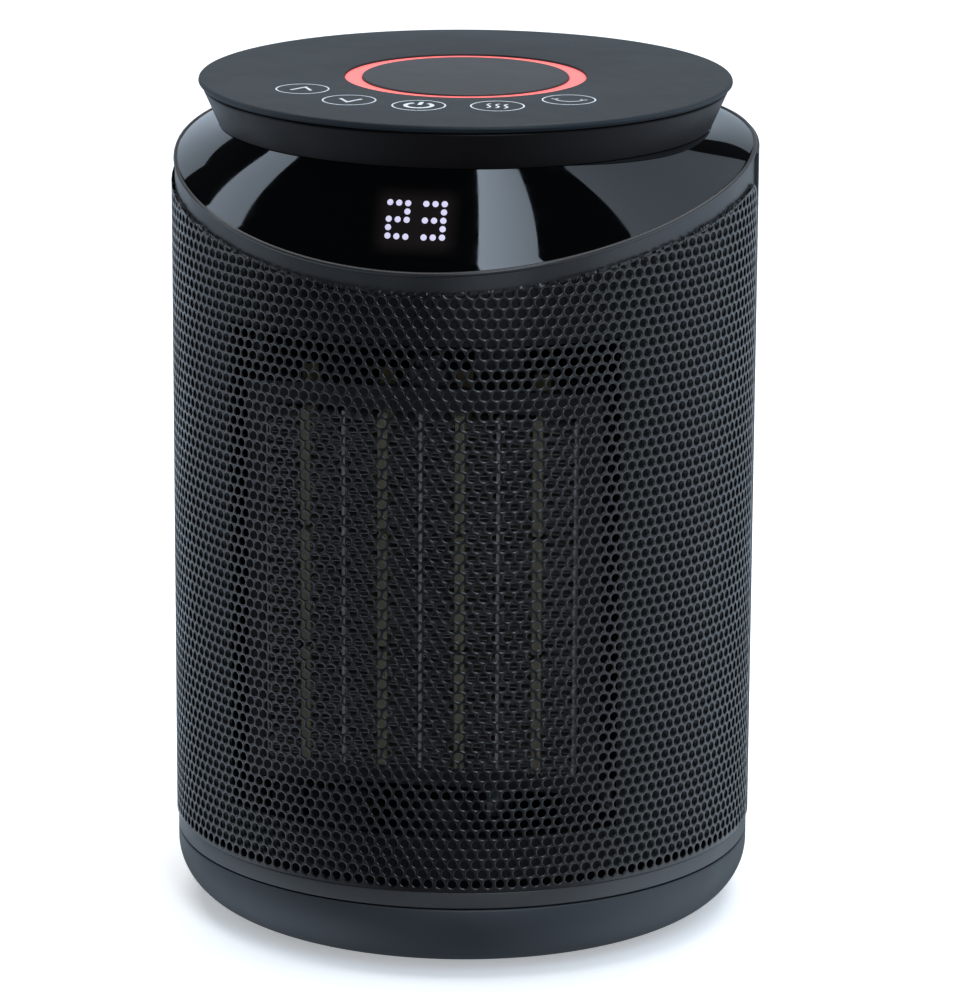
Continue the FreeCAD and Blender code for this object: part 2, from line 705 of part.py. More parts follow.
def tilt_pendulum():
    """Bob on a rod, hanging from an axle along X."""
    half_x = TIP_HALF[0] - 0.3
    axle = Part.makeCylinder(1.2, 2 * half_x, Vector(TIP_X - half_x, TIP_Y, TIP_PIVOT_Z), X_AXIS)
    rod = cylinder(0.9, (TIP_PIVOT_Z - TIP_ROD, TIP_PIVOT_Z), TIP_X, TIP_Y)
    bob = Part.makeSphere(TIP_BOB_R, Vector(TIP_X, TIP_Y, TIP_PIVOT_Z - TIP_ROD))
    return axle.fuse(rod).fuse(bob)


# ---------------------------------------------------------------- turning body: heating element

def bar_places():
    return [(place - 1.5) * BAR_PITCH for place in range(4)]


def heater_frame():
    """Heat-proof frame round the element, notched at the top for the terminals."""
    frame = slab(HEATER_FRAME_HALF_W, HEATER_FRAME_Y, HEATER_FRAME_Z)
    frame = frame.cut(slab(HEATER_HALF_W + 0.2, (-REACH, 0), (HEATER_Z[0] - 0.2, HEATER_Z[1] + 0.2)))
    for x in bar_places():
        frame = frame.cut(slab(3.2, (-63, -61), TERMINAL_Z, x))
    return frame


def ptc_bars():
    """Four insulated ceramic heating bars."""
    return Part.makeCompound([slab(BAR_W / 2, HEATER_Y, HEATER_Z, x) for x in bar_places()])


def fin_packs():
    """Eight packs of corrugated aluminium fins, each as its outer block."""
    inner_x = SEPARATOR_W / 2
    outer_x = BAR_PITCH / 2 - BAR_W / 2
    packs = []
    for x in bar_places():
        for side in (-1, 1):
            near, far = x + side * BAR_W / 2, x + side * (BAR_W / 2 + outer_x - inner_x)
            packs.append(block((min(near, far), max(near, far)), (HEATER_Y[0] + 0.4, HEATER_Y[1]), HEATER_Z))
    return Part.makeCompound(packs)


def ptc_separators():
    return Part.makeCompound([slab(SEPARATOR_W / 2, HEATER_Y, HEATER_Z, x)
                              for x in (-BAR_PITCH, 0, BAR_PITCH)])


def side_plates():
    inner = 2 * BAR_PITCH - SEPARATOR_W / 2
    return Part.makeCompound([block((min(side * inner, side * (inner + SIDE_PLATE_W)),
                                     max(side * inner, side * (inner + SIDE_PLATE_W))), HEATER_Y, HEATER_Z)
                              for side in (-1, 1)])


def heater_terminals():
    return Part.makeCompound([slab(2.5, (-62.4, -61.6), TERMINAL_Z, x) for x in bar_places()])


def thermal_cutout():
    """Bimetal disc switch on top of the heater's frame."""
    top = HEATER_FRAME_Z[1]
    can = cylinder(8.0, (top, top + 5), 0, -57).fuse(cylinder(5.5, (top + 5, top + 9), 0, -57))
    return can.fuse(slab(1.5, (-57.4, -56.6), (top + 9, top + 15), -3)).fuse(
        slab(1.5, (-57.4, -56.6), (top + 9, top + 15), 3))


# ---------------------------------------------------------------- turning body: fan and motor

def fan_duct():
    """Shroud from the round fan opening to the square heater frame, on two legs."""
    front, middle, back = DUCT_Y
    half_w = HEATER_FRAME_HALF_W + 1
    wall = DUCT_WALL
    box = slab(half_w, (front, middle), HEATER_FRAME_Z)
    box = box.cut(slab(half_w - wall, (front, middle - wall), (HEATER_FRAME_Z[0] + wall,
                                                               HEATER_FRAME_Z[1] - wall)))
    duct = box.fuse(rod_y(DUCT_R + wall, (middle - wall, back)))
    duct = duct.cut(rod_y(DUCT_R, (middle - 2 * wall, back)))
    for side in (-45, 45):
        duct = duct.fuse(slab(5.0, (front, middle), (FLOOR_Z[1], HEATER_FRAME_Z[0]), side))
    return duct


def fan_impeller():
    """Axial impeller: hub and seven pitched blades."""
    hub = rod_y(FAN_HUB_R, HUB_Y, 0, 0)
    middle = (HUB_Y[0] + HUB_Y[1]) / 2
    impeller = hub
    for count in range(BLADES):
        blade = Part.makeBox(BLADE_CHORD, BLADE_THICKNESS, FAN_TIP_R,
                             Vector(-BLADE_CHORD / 2, -BLADE_THICKNESS / 2, 0))
        blade.rotate(ORIGIN, Z_AXIS, BLADE_PITCH_ANGLE)
        blade.translate(Vector(0, middle, 0))
        blade.rotate(ORIGIN, Y_AXIS, count * 360.0 / BLADES)
        impeller = impeller.fuse(blade)
    impeller = impeller.common(rod_y(FAN_TIP_R, HUB_Y, 0, 0))
    impeller = impeller.cut(rod_y(SHAFT_R + RUNNING_CLEARANCE / 2, (-REACH, REACH), 0, 0))
    impeller.translate(Vector(0, 0, FAN_Z))
    return impeller


def motor_shaft():
    return rod_y(SHAFT_R, SHAFT_Y)


def motor_rotor():
    return tube_y(SHAFT_R + RUNNING_CLEARANCE / 2, ROTOR_R, ROTOR_Y)


def motor_housing():
    """Motor can with a hole for a bush in each end."""
    inner = (MOTOR_Y[0] + MOTOR_WALL, MOTOR_Y[1] - MOTOR_WALL)
    can = rod_y(MOTOR_R, MOTOR_Y).cut(rod_y(MOTOR_R - MOTOR_WALL, inner))
    return can.cut(rod_y(4.5, (-REACH, REACH)))


def motor_bushes():
    spans = [(MOTOR_Y[0] - 1, MOTOR_Y[0] + 4), (MOTOR_Y[1] - 4, MOTOR_Y[1] + 1)]
    return Part.makeCompound([tube_y(SHAFT_R + RUNNING_CLEARANCE, 4.45, span) for span in spans])


def stator_core():
    """Laminated ring with six slots."""
    core = tube_y(ROTOR_R + 0.5, MOTOR_R - MOTOR_WALL - 0.2, (-4, 16))
    for count in range(6):
        slot = Part.makeBox(4.0, 24, 4.5, Vector(-2, -5, ROTOR_R + 0.2))
        slot.rotate(ORIGIN, Y_AXIS, 60 * count)
        slot.translate(Vector(0, 0, FAN_Z))
        core = core.cut(slot)
    return core


def stator_coils():
    spans = ((-7.5, -4.2), (16.2, 19.5))
    return Part.makeCompound([tube_y(ROTOR_R + 1.2, MOTOR_R - MOTOR_WALL - 1, span) for span in spans])


def motor_bracket():
    """Spider of three arms that holds the motor in the fan duct's mouth."""
    y_span = (DUCT_Y[2] + 0.2, MOTOR_Y[0] - 0.2)
    rim = tube_y(DUCT_R - 3, DUCT_R + DUCT_WALL, y_span)
    hub = rod_y(MOTOR_R - 4, y_span)
    bracket = rim.fuse(hub)
    for count in range(3):
        arm = block((-4, 4), y_span, (10, DUCT_R - 1))
        arm.rotate(ORIGIN, Y_AXIS, 120 * count + 60)
        arm.translate(Vector(0, 0, FAN_Z))
        bracket = bracket.fuse(arm)
    return bracket.cut(rod_y(4.8, (-REACH, REACH)))


# ---------------------------------------------------------------- turning body: back fittings

def switch_frame():
    """Frame of the mains switch: a curved flange flush with the shell and a box behind it."""
    half_x, half_z = SWITCH_HALF
    z_span = (SWITCH_Z - half_z, SWITCH_Z + half_z)
    body = slab(half_x, (72, BODY_R), z_span).common(cylinder(BODY_R, (0, REACH)))
    cavity = slab(half_x - SWITCH_WALL, (72 + SWITCH_WALL, REACH),
                  (z_span[0] + SWITCH_WALL, z_span[1] - SWITCH_WALL))
    bearing = Part.makeCylinder(1.5 + RUNNING_CLEARANCE, 4 * half_x,
                                Vector(-2 * half_x, ROCKER_PIVOT_Y, SWITCH_Z), X_AXIS)
    return switch_flange(0.0).fuse(body).cut(cavity).cut(bearing)


def power_rocker():
    """Rocker with a V-shaped face, at rest with its lower half pressed in."""
    half_x, half_z = ROCKER_HALF
    profile = [(3.6, -half_z), (5.0, 0), (3.6, half_z), (-1.0, half_z)]
    profile += [(-6.0, 4), (-6.0, -4), (-1.0, -half_z)]
    corners = [Vector(-half_x, y, z) for y, z in profile]
    key = Part.Face(Part.makePolygon(corners + corners[:1])).extrude(Vector(2 * half_x, 0, 0))
    axle_half = SWITCH_HALF[0] - 0.3
    key = key.fuse(Part.makeCylinder(1.5, 2 * axle_half, Vector(-axle_half, 0, 0), X_AXIS))
    key.rotate(ORIGIN, X_AXIS, -ROCKER_REST_TILT)
    key.translate(Vector(0, ROCKER_PIVOT_Y, SWITCH_Z))
    return key


def cord_gland():
    """Bush for the mains cord, flanged inside and out."""
    low, high = GLAND_Y
    bush = rod_y(GLAND_R, GLAND_Y, GLAND_X, GLAND_Z)
    bush = bush.fuse(rod_y(GLAND_R + 2, (low, low + 3), GLAND_X, GLAND_Z))
    return bush.cut(rod_y(GLAND_BORE_R, GLAND_Y, GLAND_X, GLAND_Z))


PARTS = (
    base_bowl, rubber_feet, base_deck, base_screws, glide_ring, pivot_hub, pivot_retainer, swivel_gear,
    drive_pinion, swivel_motor, lower_ring, chassis_floor, upper_chassis, chassis_posts, post_screws,
    front_frame, front_grille, rear_shell, shell_screws, dust_filter, gloss_fascia, cap_skirt, touch_cap,
    led_ring, centre_disc, touch_board, touch_springs, ring_leds, display_board, display_leds,
    power_board, board_standoffs, relays, filter_capacitor, supply_transformer, ribbon_cable,
    tip_switch_box, tilt_pendulum, heater_frame, ptc_bars, fin_packs, ptc_separators, side_plates,
    heater_terminals, thermal_cutout, fan_duct, fan_impeller, motor_shaft, motor_rotor, motor_housing,
    motor_bushes, stator_core, stator_coils, motor_bracket, switch_frame, power_rocker, cord_gland,
)

os.makedirs("parts", exist_ok=True)
for part in PARTS:
    shape = part()
    shape.exportStep("parts/" + part.__name__ + ".step")
    box = shape.BoundBox
    print("%-20s solids %2d valid %s z %.2f..%.2f" % (part.__name__, len(shape.Solids), shape.isValid(),
                                                      box.ZMin, box.ZMax))
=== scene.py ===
import json
import math

import bmesh
import bpy
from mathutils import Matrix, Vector


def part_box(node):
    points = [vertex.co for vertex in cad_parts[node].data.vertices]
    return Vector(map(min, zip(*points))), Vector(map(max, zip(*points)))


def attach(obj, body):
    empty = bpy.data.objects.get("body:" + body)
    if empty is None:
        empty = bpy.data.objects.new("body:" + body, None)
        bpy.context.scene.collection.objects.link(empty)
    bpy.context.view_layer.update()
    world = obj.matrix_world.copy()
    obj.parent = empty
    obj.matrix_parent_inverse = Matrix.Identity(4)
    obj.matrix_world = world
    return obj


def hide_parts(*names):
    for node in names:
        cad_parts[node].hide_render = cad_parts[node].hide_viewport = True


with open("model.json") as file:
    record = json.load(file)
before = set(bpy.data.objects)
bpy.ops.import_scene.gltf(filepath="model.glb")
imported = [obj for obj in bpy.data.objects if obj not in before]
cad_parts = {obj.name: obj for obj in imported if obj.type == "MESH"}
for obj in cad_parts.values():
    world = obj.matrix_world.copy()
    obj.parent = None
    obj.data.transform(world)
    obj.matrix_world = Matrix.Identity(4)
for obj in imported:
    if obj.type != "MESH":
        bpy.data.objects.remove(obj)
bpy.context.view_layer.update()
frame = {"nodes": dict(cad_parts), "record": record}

MM = 0.001

# ---------------------------------------------------------------- sizes read from the frame
grille_low, grille_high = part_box("front_grille")
fascia_low, fascia_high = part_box("gloss_fascia")
skirt_low, skirt_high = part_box("cap_skirt")
cap_low, cap_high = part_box("touch_cap")
light_low, light_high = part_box("led_ring")
disc_low, disc_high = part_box("centre_disc")
bowl_low, bowl_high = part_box("base_bowl")
ring_low, ring_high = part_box("lower_ring")
fins_low, fins_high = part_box("fin_packs")
bars_low, bars_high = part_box("ptc_bars")
dots_low, dots_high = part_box("display_leds")
leaves_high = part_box("ptc_separators")[1]
frame_wall_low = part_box("front_frame")[0]

BODY_R = -grille_low.y
FRAME_R = -frame_wall_low.y
RING_R = ring_high.x
CAP_R = cap_high.x

# Touch cap: the disc, the well that the lit ring sits in, and the print on top
DISC_R = disc_high.x - 0.7 * MM
WELL_R = 37.0 * MM
LENS_SINK = 0.35 * MM
KEY_R = 7.9 * MM
INK = 0.03 * MM
CAP_TOP = disc_high.z - INK

# Heating element
BAR_W = 3.0 * MM
LEAF_W = 1.0 * MM
BAR_PITCH = leaves_high.x - LEAF_W / 2

# Edge curves round the body: (height at the front, rise towards the back, bow at the sides)
GRILLE_TOP = (211.7 * MM, 10.8 * MM, 4.5 * MM)
RIM_CURVE = (fascia_low.z, 12.87 * MM, 4.29 * MM)
GRILLE_HALF_ANGLE = math.acos(-grille_high.y / BODY_R)
GRILLE_CORNER = 9.0 * MM

# Perforation of the grille: round holes in staggered rows
HOLE_PITCH = 3.604 * MM
ROW_PITCH = 3.077 * MM
HOLE_R = 1.38 * MM
HOLE_EDGE = 0.22 * MM
HOLE_DISH = 0.16 * MM
SHEET = 0.75 * MM
ROW_ORIGIN = 61.5 * MM
COLUMN_ORIGIN = math.radians(4.0)
THINNEST = 0.38 * MM                # narrowest web kept between a hole and the top edge
SLIVER = 0.006 * MM ** 2            # faces smaller than this are dropped
GRILLE_ROWS = range(-12, 58)
GRILLE_COLUMNS = 91
GRILLE_SECTORS = 5

# Gloss fascia and the display set in it
FASCIA_NECK_R = 75.4 * MM
FASCIA_BULGE = 0.045
FASCIA_WALL = 2.2 * MM
DISPLAY_LIFT = 1.6 * MM
DISPLAY_SHIFT = 0.8 * MM

DAYLIGHT = (0.84, 1.0, 1.18)


def polar(radius, angle, z=0.0):
    """Point at an angle round the body, from the front (-Y) towards +X."""
    return Vector((radius * math.sin(angle), -radius * math.cos(angle), z))


def edge_height(curve, angle):
    front, rise, bow = curve
    return front + rise * (1 - math.cos(angle)) + bow * (1 - math.cos(2 * angle))


# ---------------------------------------------------------------- node materials

class Shader:
    """A Principled material under construction, with short calls for the nodes it uses."""

    def __init__(self, name, **values):
        self.material = bpy.data.materials.new(name)
        self.material.use_nodes = True
        self.tree = self.material.node_tree
        self.bsdf = self.tree.nodes["Principled BSDF"]
        self.place = self.tree.nodes.new("ShaderNodeTexCoord").outputs["Object"]
        for socket, value in values.items():
            self.bsdf.inputs[socket.replace("_", " ")].default_value = value

    def node(self, kind, links=(), **settings):
        made = self.tree.nodes.new("ShaderNode" + kind)
        for key, value in settings.items():
            setattr(made, key, value)
        for socket, source in links:
            if isinstance(source, bpy.types.NodeSocket):
                self.tree.links.new(source, made.inputs[socket])
            else:
                made.inputs[socket].default_value = source
        return made

    def noise(self, per_metre, detail=3.0, roughness=0.5, stretch=(1, 1, 1)):
        place = self.node("Mapping", [("Vector", self.place), ("Scale", stretch)]).outputs[0]
        return self.node("TexNoise", [("Vector", place), ("Scale", per_metre), ("Detail", detail),
                                      ("Roughness", roughness)]).outputs["Fac"]

    def spread(self, value, low, high, from_low=0.3, from_high=0.7):
        """Map a noise value's usual span onto low..high."""
        return self.node("MapRange", [("Value", value), ("From Min", from_low), ("From Max", from_high),
                                      ("To Min", low), ("To Max", high)]).outputs[0]

    def math(self, operation, *values):
        return self.node("Math", list(enumerate(values)), operation=operation).outputs[0]

    def blend(self, factor, first, second):
        made = self.node("Mix", data_type="RGBA")
        for index, source in ((0, factor), (6, first), (7, second)):
            if isinstance(source, bpy.types.NodeSocket):
                self.tree.links.new(source, made.inputs[index])
            else:
                made.inputs[index].default_value = source if index == 0 else (*source, 1.0)
        return made.outputs[2]

    def bump(self, height, depth, strength=1.0):
        made = self.node("Bump", [("Height", height), ("Distance", depth), ("Strength", strength)])
        previous = self.bsdf.inputs["Normal"]
        if previous.is_linked:
            self.tree.links.new(previous.links[0].from_socket, made.inputs["Normal"])
        self.set("Normal", made.outputs[0])

    def set(self, socket, source):
        self.tree.links.new(source, self.bsdf.inputs[socket])


def scaled(colour, factor):
    return tuple(min(1.0, channel * factor) for channel in colour)


def moulded(name, colour, roughness, grain=1800.0, grain_depth=0.00003, mottle=0.14, **values):
    """Moulded plastic: a spark-eroded grain, faint flow marks and uneven roughness."""
    shader = Shader(name, **values)
    flow = shader.noise(35.0, 4.0, 0.6, (1, 1, 0.5))
    fine = shader.noise(grain, 2.0, 0.6)
    tone = shader.blend(shader.spread(flow, 0, 1), scaled(colour, 1 - mottle), scaled(colour, 1 + mottle))
    shader.set("Base Color", shader.blend(shader.spread(fine, 0, 0.35, 0.5, 0.75), tone, scaled(colour, 1.5)))
    shader.set("Roughness", shader.spread(flow, roughness - 0.05, roughness + 0.07))
    shader.bump(fine, grain_depth)
    return shader


def painted_sheet(name, colour, roughness):
    """Powder-coated sheet metal: orange peel, thinner and browner paint here and there."""
    shader = Shader(name, Coat_Weight=0.17, Coat_Roughness=0.16, Specular_IOR_Level=0.45,
                    Specular_Tint=(1.0, 0.95, 0.91, 1.0))
    patch = shader.noise(60.0, 5.0, 0.6)
    peel = shader.noise(900.0, 2.0, 0.5)
    fleck = shader.noise(5200.0, 1.0, 0.5)
    tone = shader.blend(shader.spread(patch, 0, 1), scaled(colour, 0.75), scaled(colour, 1.3))
    shader.set("Base Color", shader.blend(shader.spread(fleck, 0, 0.4, 0.55, 0.8), tone, scaled(colour, 2.2)))
    shader.set("Roughness", shader.spread(patch, roughness - 0.06, roughness + 0.1))
    shader.bump(peel, 0.00004)
    return shader


def bare_metal(name, colour, roughness, brushed=(1, 1, 1), grain=700.0):
    """Bare metal with drawn or brushed lines and a little tarnish."""
    shader = Shader(name, Metallic=1.0)
    lines = shader.noise(grain, 3.0, 0.6, brushed)
    tarnish = shader.noise(90.0, 4.0, 0.6)
    tone = shader.blend(shader.spread(tarnish, 0, 1), scaled(colour, 0.72), colour)
    shader.set("Base Color", shader.blend(shader.spread(lines, 0, 0.5), tone, scaled(colour, 0.85)))
    shader.set("Roughness", shader.spread(lines, roughness - 0.08, roughness + 0.12))
    shader.bump(lines, 0.00003)
    return shader


def glossy_black(name):
    """Piano-black plastic with faint wiping marks, and the dim glow of the display behind it."""
    shader = Shader(name, IOR=1.5)
    wipe = shader.noise(45.0, 6.0, 0.7, (1, 1, 3))
    dust = shader.noise(2600.0, 1.0, 0.5)
    shader.set("Roughness", shader.spread(wipe, 0.02, 0.07))
    black, dusty = (0.0008, 0.0008, 0.0009), (0.008, 0.008, 0.0085)
    shader.set("Base Color", shader.blend(shader.spread(dust, 0, 0.5, 0.7, 0.85), black, dusty))
    shader.bump(wipe, 0.000004)
    centre = (dots_low + dots_high) / 2 + Vector((DISPLAY_SHIFT, 0, DISPLAY_LIFT))
    parts = shader.node("SeparateXYZ", [("Vector", shader.place)]).outputs
    across = shader.math("ABSOLUTE", shader.math("SUBTRACT", parts[0], centre.x))
    upward = shader.math("ABSOLUTE", shader.math("SUBTRACT", parts[2], centre.z))
    half_w = (dots_high.x - dots_low.x) / 2
    half_h = (dots_high.z - dots_low.z) / 2
    inside_w = shader.spread(across, 1, 0, half_w - 1 * MM, half_w + 4 * MM)
    inside_h = shader.spread(upward, 1, 0, half_h - 1 * MM, half_h + 3 * MM)
    front = shader.math("LESS_THAN", parts[1], 0.0)
    glow = shader.math("MULTIPLY", shader.math("MULTIPLY", inside_w, inside_h), front)
    shader.bsdf.inputs["Emission Color"].default_value = (1.0, 0.80, 0.80, 1.0)
    shader.set("Emission Strength", shader.math("MULTIPLY", glow, 0.008))
    return shader


def glowing(name, colour, strength, roughness, shaded_rims=None):
    """Lit translucent plastic: brighter where an LED sits behind it, with painted shade turning it a darker
    red towards its edges.
    """
    shader = Shader(name)
    spots = shader.noise(60.0, 2.0, 0.5)
    grain = shader.noise(1500.0, 2.0, 0.5)
    grained = shader.spread(grain, 0, 1)
    shader.set("Base Color", shader.blend(grained, scaled(colour, 0.35), scaled(colour, 0.5)))
    light = shader.blend(shader.spread(spots, 0, 1), colour, scaled(colour, 1.12))
    # Painted shade: the emission turns a darker red within 0.7 mm of the lens's inner and outer edges,
    # standing in for the shadow of the walls of its well.
    if shaded_rims:
        inner, outer = shaded_rims
        flat = shader.node("VectorMath", [(0, shader.place), (1, (1, 1, 0))], operation="MULTIPLY").outputs[0]
        radius = shader.node("VectorMath", [(0, flat)], operation="LENGTH").outputs["Value"]
        inside = shader.spread(radius, 0, 1, inner, inner + 0.7 * MM)
        outside = shader.spread(radius, 1, 0, outer - 0.7 * MM, outer)
        rim_shade = (colour[0] * 0.55, colour[1] * 0.16, colour[2] * 0.16)
        light = shader.blend(shader.math("MULTIPLY", inside, outside), rim_shade, light)
    shader.set("Emission Color", light)
    shader.bsdf.inputs["Emission Strength"].default_value = strength
    shader.set("Roughness", shader.spread(grain, roughness - 0.05, roughness + 0.05))
    shader.bump(grain, 0.00001)
    return shader


def woven(name, colour, threads):
    """Fine woven mesh."""
    shader = Shader(name, Roughness=0.8, Sheen_Weight=0.2)
    weave = shader.node("TexChecker", [("Vector", shader.place), ("Scale", threads)]).outputs["Fac"]
    fuzz = shader.noise(900.0, 2.0, 0.5)
    shader.set("Base Color", shader.blend(weave, scaled(colour, 0.5), colour))
    shader.bump(shader.math("ADD", weave, fuzz), 0.0001)
    return shader


def solder_mask(name):
    """Circuit board: green mask over copper tracks."""
    shader = Shader(name, Roughness=0.35, Coat_Weight=0.3)
    tracks = shader.node("TexBrick", [("Vector", shader.place), ("Scale", 160.0)]).outputs["Fac"]
    patch = shader.noise(40.0, 3.0, 0.5)
    base = shader.blend(shader.spread(patch, 0, 1), (0.010, 0.060, 0.025), (0.015, 0.085, 0.035))
    shader.set("Base Color", shader.blend(tracks, base, (0.03, 0.16, 0.06)))
    shader.bump(tracks, 0.00003)
    return shader


MATERIALS = {
    "base_plastic": moulded("base_plastic", (0.022, 0.024, 0.027), 0.50, 2600.0),
    "ring_plastic": moulded("ring_plastic", (0.042, 0.040, 0.039), 0.42, 2200.0),
    "satin_black": moulded("satin_black", (0.007, 0.0065, 0.006), 0.30, 1500.0, 0.00001),
    # The front frame's wall behind the grille: its black made darker than on the trim band, as painted shade
    "frame_wall": moulded("frame_wall", (0.004, 0.004, 0.004), 0.5, 1500.0, 0.00002, Specular_IOR_Level=0.2),
    # The trim band's satin: dark grey and lighter than the rest of the front frame, partly its own tone and
    # partly a painted highlight of the key light
    "trim": moulded("trim", (0.020, 0.019, 0.019), 0.36, 1500.0, 0.00001),
    "gloss_black": glossy_black("gloss_black"),
    "cap_soft": moulded("cap_soft", (0.004, 0.009, 0.013), 0.58, 3200.0, 0.00002, 0.08,
                        Specular_IOR_Level=0.40),
    "skirt_plastic": moulded("skirt_plastic", (0.0065, 0.005, 0.0048), 0.40, 1700.0, 0.00002,
                              Specular_IOR_Level=0.10),
    "shell_plastic": moulded("shell_plastic", (0.016, 0.017, 0.019), 0.48, 2400.0),
    "grille_metal": painted_sheet("grille_metal", (0.0065, 0.006, 0.006), 0.30),
    "led_glow": glowing("led_glow", (0.92, 0.16, 0.15), 1.0, 0.4, (DISC_R, WELL_R)),
    "display_glow": glowing("display_glow", (0.54, 0.51, 0.68), 0.95, 0.4),
    "rubber": moulded("rubber", (0.010, 0.010, 0.010), 0.78, 1200.0, 0.00006),
    "steel": bare_metal("steel", (0.55, 0.55, 0.57), 0.34),
    "aluminium": bare_metal("aluminium", (0.52, 0.47, 0.45), 0.45, (0.2, 3, 1)),
    "ceramic": moulded("ceramic", (0.13, 0.105, 0.067), 0.55, 900.0, 0.00006),
    "heat_plastic": moulded("heat_plastic", (0.010, 0.010, 0.011), 0.45),
    "nylon": moulded("nylon", (0.70, 0.68, 0.62), 0.45),
    "dark_plastic": moulded("dark_plastic", (0.013, 0.013, 0.014), 0.45),
    "board": solder_mask("board"),
    "part_black": moulded("part_black", (0.012, 0.012, 0.013), 0.28, 1200.0, 0.00001),
    "copper": bare_metal("copper", (0.62, 0.28, 0.14), 0.35, (1, 6, 1)),
    "brass": bare_metal("brass", (0.10, 0.075, 0.04), 0.5),
    "filter_mesh": woven("filter_mesh", (0.03, 0.03, 0.03), 900.0),
    "ribbon": moulded("ribbon", (0.45, 0.45, 0.47), 0.5),
    "disc": moulded("disc", (0.016, 0.019, 0.023), 0.54, 3200.0, 0.00002, 0.08),
    "ink": moulded("ink", (0.62, 0.66, 0.70), 0.5, 2600.0, 0.00001, 0.06),
}


# ---------------------------------------------------------------- pieces

def piece(name, verts, faces, slot, body="upper_body", finish=None, sharp=35.0):
    """A finished piece on a body: a welded mesh with smooth faces and sharp creases."""
    mesh = bpy.data.meshes.new(name)
    mesh.from_pydata([tuple(v) for v in verts], [], faces)
    weld = bmesh.new()
    weld.from_mesh(mesh)
    bmesh.ops.remove_doubles(weld, verts=weld.verts, dist=1e-6)
    bmesh.ops.dissolve_degenerate(weld, edges=weld.edges, dist=1e-6)
    bmesh.ops.recalc_face_normals(weld, faces=weld.faces)
    weld.to_mesh(mesh)
    weld.free()
    mesh.shade_smooth()
    mesh.set_sharp_from_angle(angle=math.radians(sharp))
    made = bpy.data.objects.new(name, mesh)
    bpy.context.scene.collection.objects.link(made)
    mesh.materials.append(MATERIALS[finish or slot].material)
    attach(made, body)
    return made


def applied(made):
    """Apply a piece's modifiers to its mesh."""
    graph = bpy.context.evaluated_depsgraph_get()
    final = bpy.data.meshes.new_from_object(made.evaluated_get(graph))
    old = made.data
    made.modifiers.clear()
    made.data = final
    bpy.data.meshes.remove(old)
    return made


def rounded(corners, radii, steps=6):
    """A closed outline's corners rounded by arcs; a radius of 0 leaves a corner sharp."""
    points = []
    count = len(corners)
    for index, (corner, radius) in enumerate(zip(corners, radii)):
        here = Vector(corner)
        if not radius:
            points.append(here)
            continue
        before = (Vector(corners[index - 1]) - here).normalized()
        after = (Vector(corners[(index + 1) % count]) - here).normalized()
        half = before.angle(after) / 2
        centre = here + (before + after).normalized() * radius / math.sin(half)
        start = here + before * radius / math.tan(half) - centre
        end = here + after * radius / math.tan(half) - centre
        sweep = start.angle(end)
        for step in range(steps + 1):
            share = step / steps
            offset = (start * math.sin((1 - share) * sweep) + end * math.sin(share * sweep)) / math.sin(sweep)
            points.append(centre + offset)
    return points


def ring_of_sections(sections, closed=True):
    """Vertices and faces of a skin through matching closed sections, round a ring or capped at both ends."""
    verts = [point for section in sections for point in section]
    count, around = len(sections[0]), len(sections)
    faces = [] if closed else [tuple(range(count)), tuple(range(count * (around - 1), count * around))]
    for i in range(around if closed else around - 1):
        for k in range(count):
            after_i, after_k = (i + 1) % around, (k + 1) % count
            faces.append((i * count + k, i * count + after_k, after_i * count + after_k, after_i * count + k))
    return verts, faces


def turned(name, outline, slot, body="upper_body", steps=288, **options):
    """Solid of revolution from a closed outline of (radius, z)."""
    sections = [[polar(r, 2 * math.pi * i / steps, z) for r, z in outline] for i in range(steps)]
    return piece(name, *ring_of_sections(sections), slot, body, **options)


# Base ------------------------------------------------------------

def base_bowl():
    wall = 2.5 * MM
    floor_r = 71.3 * MM
    shoulder = 18.6 * MM
    lip = 0.5 * MM
    outside = []
    for step in range(25):
        turn = math.pi / 2 * step / 24
        outside.append((floor_r + (RING_R - floor_r) * math.sin(turn),
                        shoulder - (shoulder - bowl_low.z) * math.cos(turn)))
    outside += [(RING_R, bowl_high.z - lip), (RING_R - 0.15 * lip, bowl_high.z - 0.4 * lip),
                (RING_R - 0.6 * lip, bowl_high.z), (RING_R - wall, bowl_high.z)]
    inside = []
    for step in range(12, -1, -1):
        turn = math.pi / 2 * step / 12
        inside.append((floor_r + (RING_R - wall - floor_r) * math.sin(turn),
                       shoulder - (shoulder - bowl_low.z - wall) * math.cos(turn)))
    outline = [(0.0, bowl_low.z)] + outside + inside + [(0.0, bowl_low.z + wall)]
    made = turned("base_bowl_skin", outline, "base_plastic", "base")
    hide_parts("base_bowl")


def lower_ring():
    inner = RING_R - 3.0 * MM
    corners = [(RING_R, ring_low.z), (RING_R, ring_high.z), (inner, ring_high.z), (inner, ring_low.z)]
    made = turned("lower_ring_skin", rounded(corners, [0.5 * MM, 0.5 * MM, 0, 0]), "ring_plastic")
    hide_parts("lower_ring")


# Cap -------------------------------------------------------------

def touch_cap():
    corners = [(WELL_R, cap_low.z), (CAP_R - 1.2 * MM, cap_low.z), (CAP_R, cap_low.z + 1.2 * MM),
               (CAP_R - 0.25 * MM, CAP_TOP), (WELL_R, CAP_TOP)]
    radii = [0, 0.4 * MM, 0.5 * MM, 0.9 * MM, 0.25 * MM]
    made = turned("touch_cap_skin", rounded(corners, radii), "cap_soft", sharp=50.0)
    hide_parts("touch_cap")


def centre_disc():
    corners = [(0, disc_low.z), (DISC_R, disc_low.z), (DISC_R, CAP_TOP), (0, CAP_TOP)]
    outline = rounded(corners, [0, 0, 0.4 * MM, 0])
    made = turned("centre_disc_skin", outline, "cap_soft", finish="disc", sharp=50.0)
    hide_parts("centre_disc")


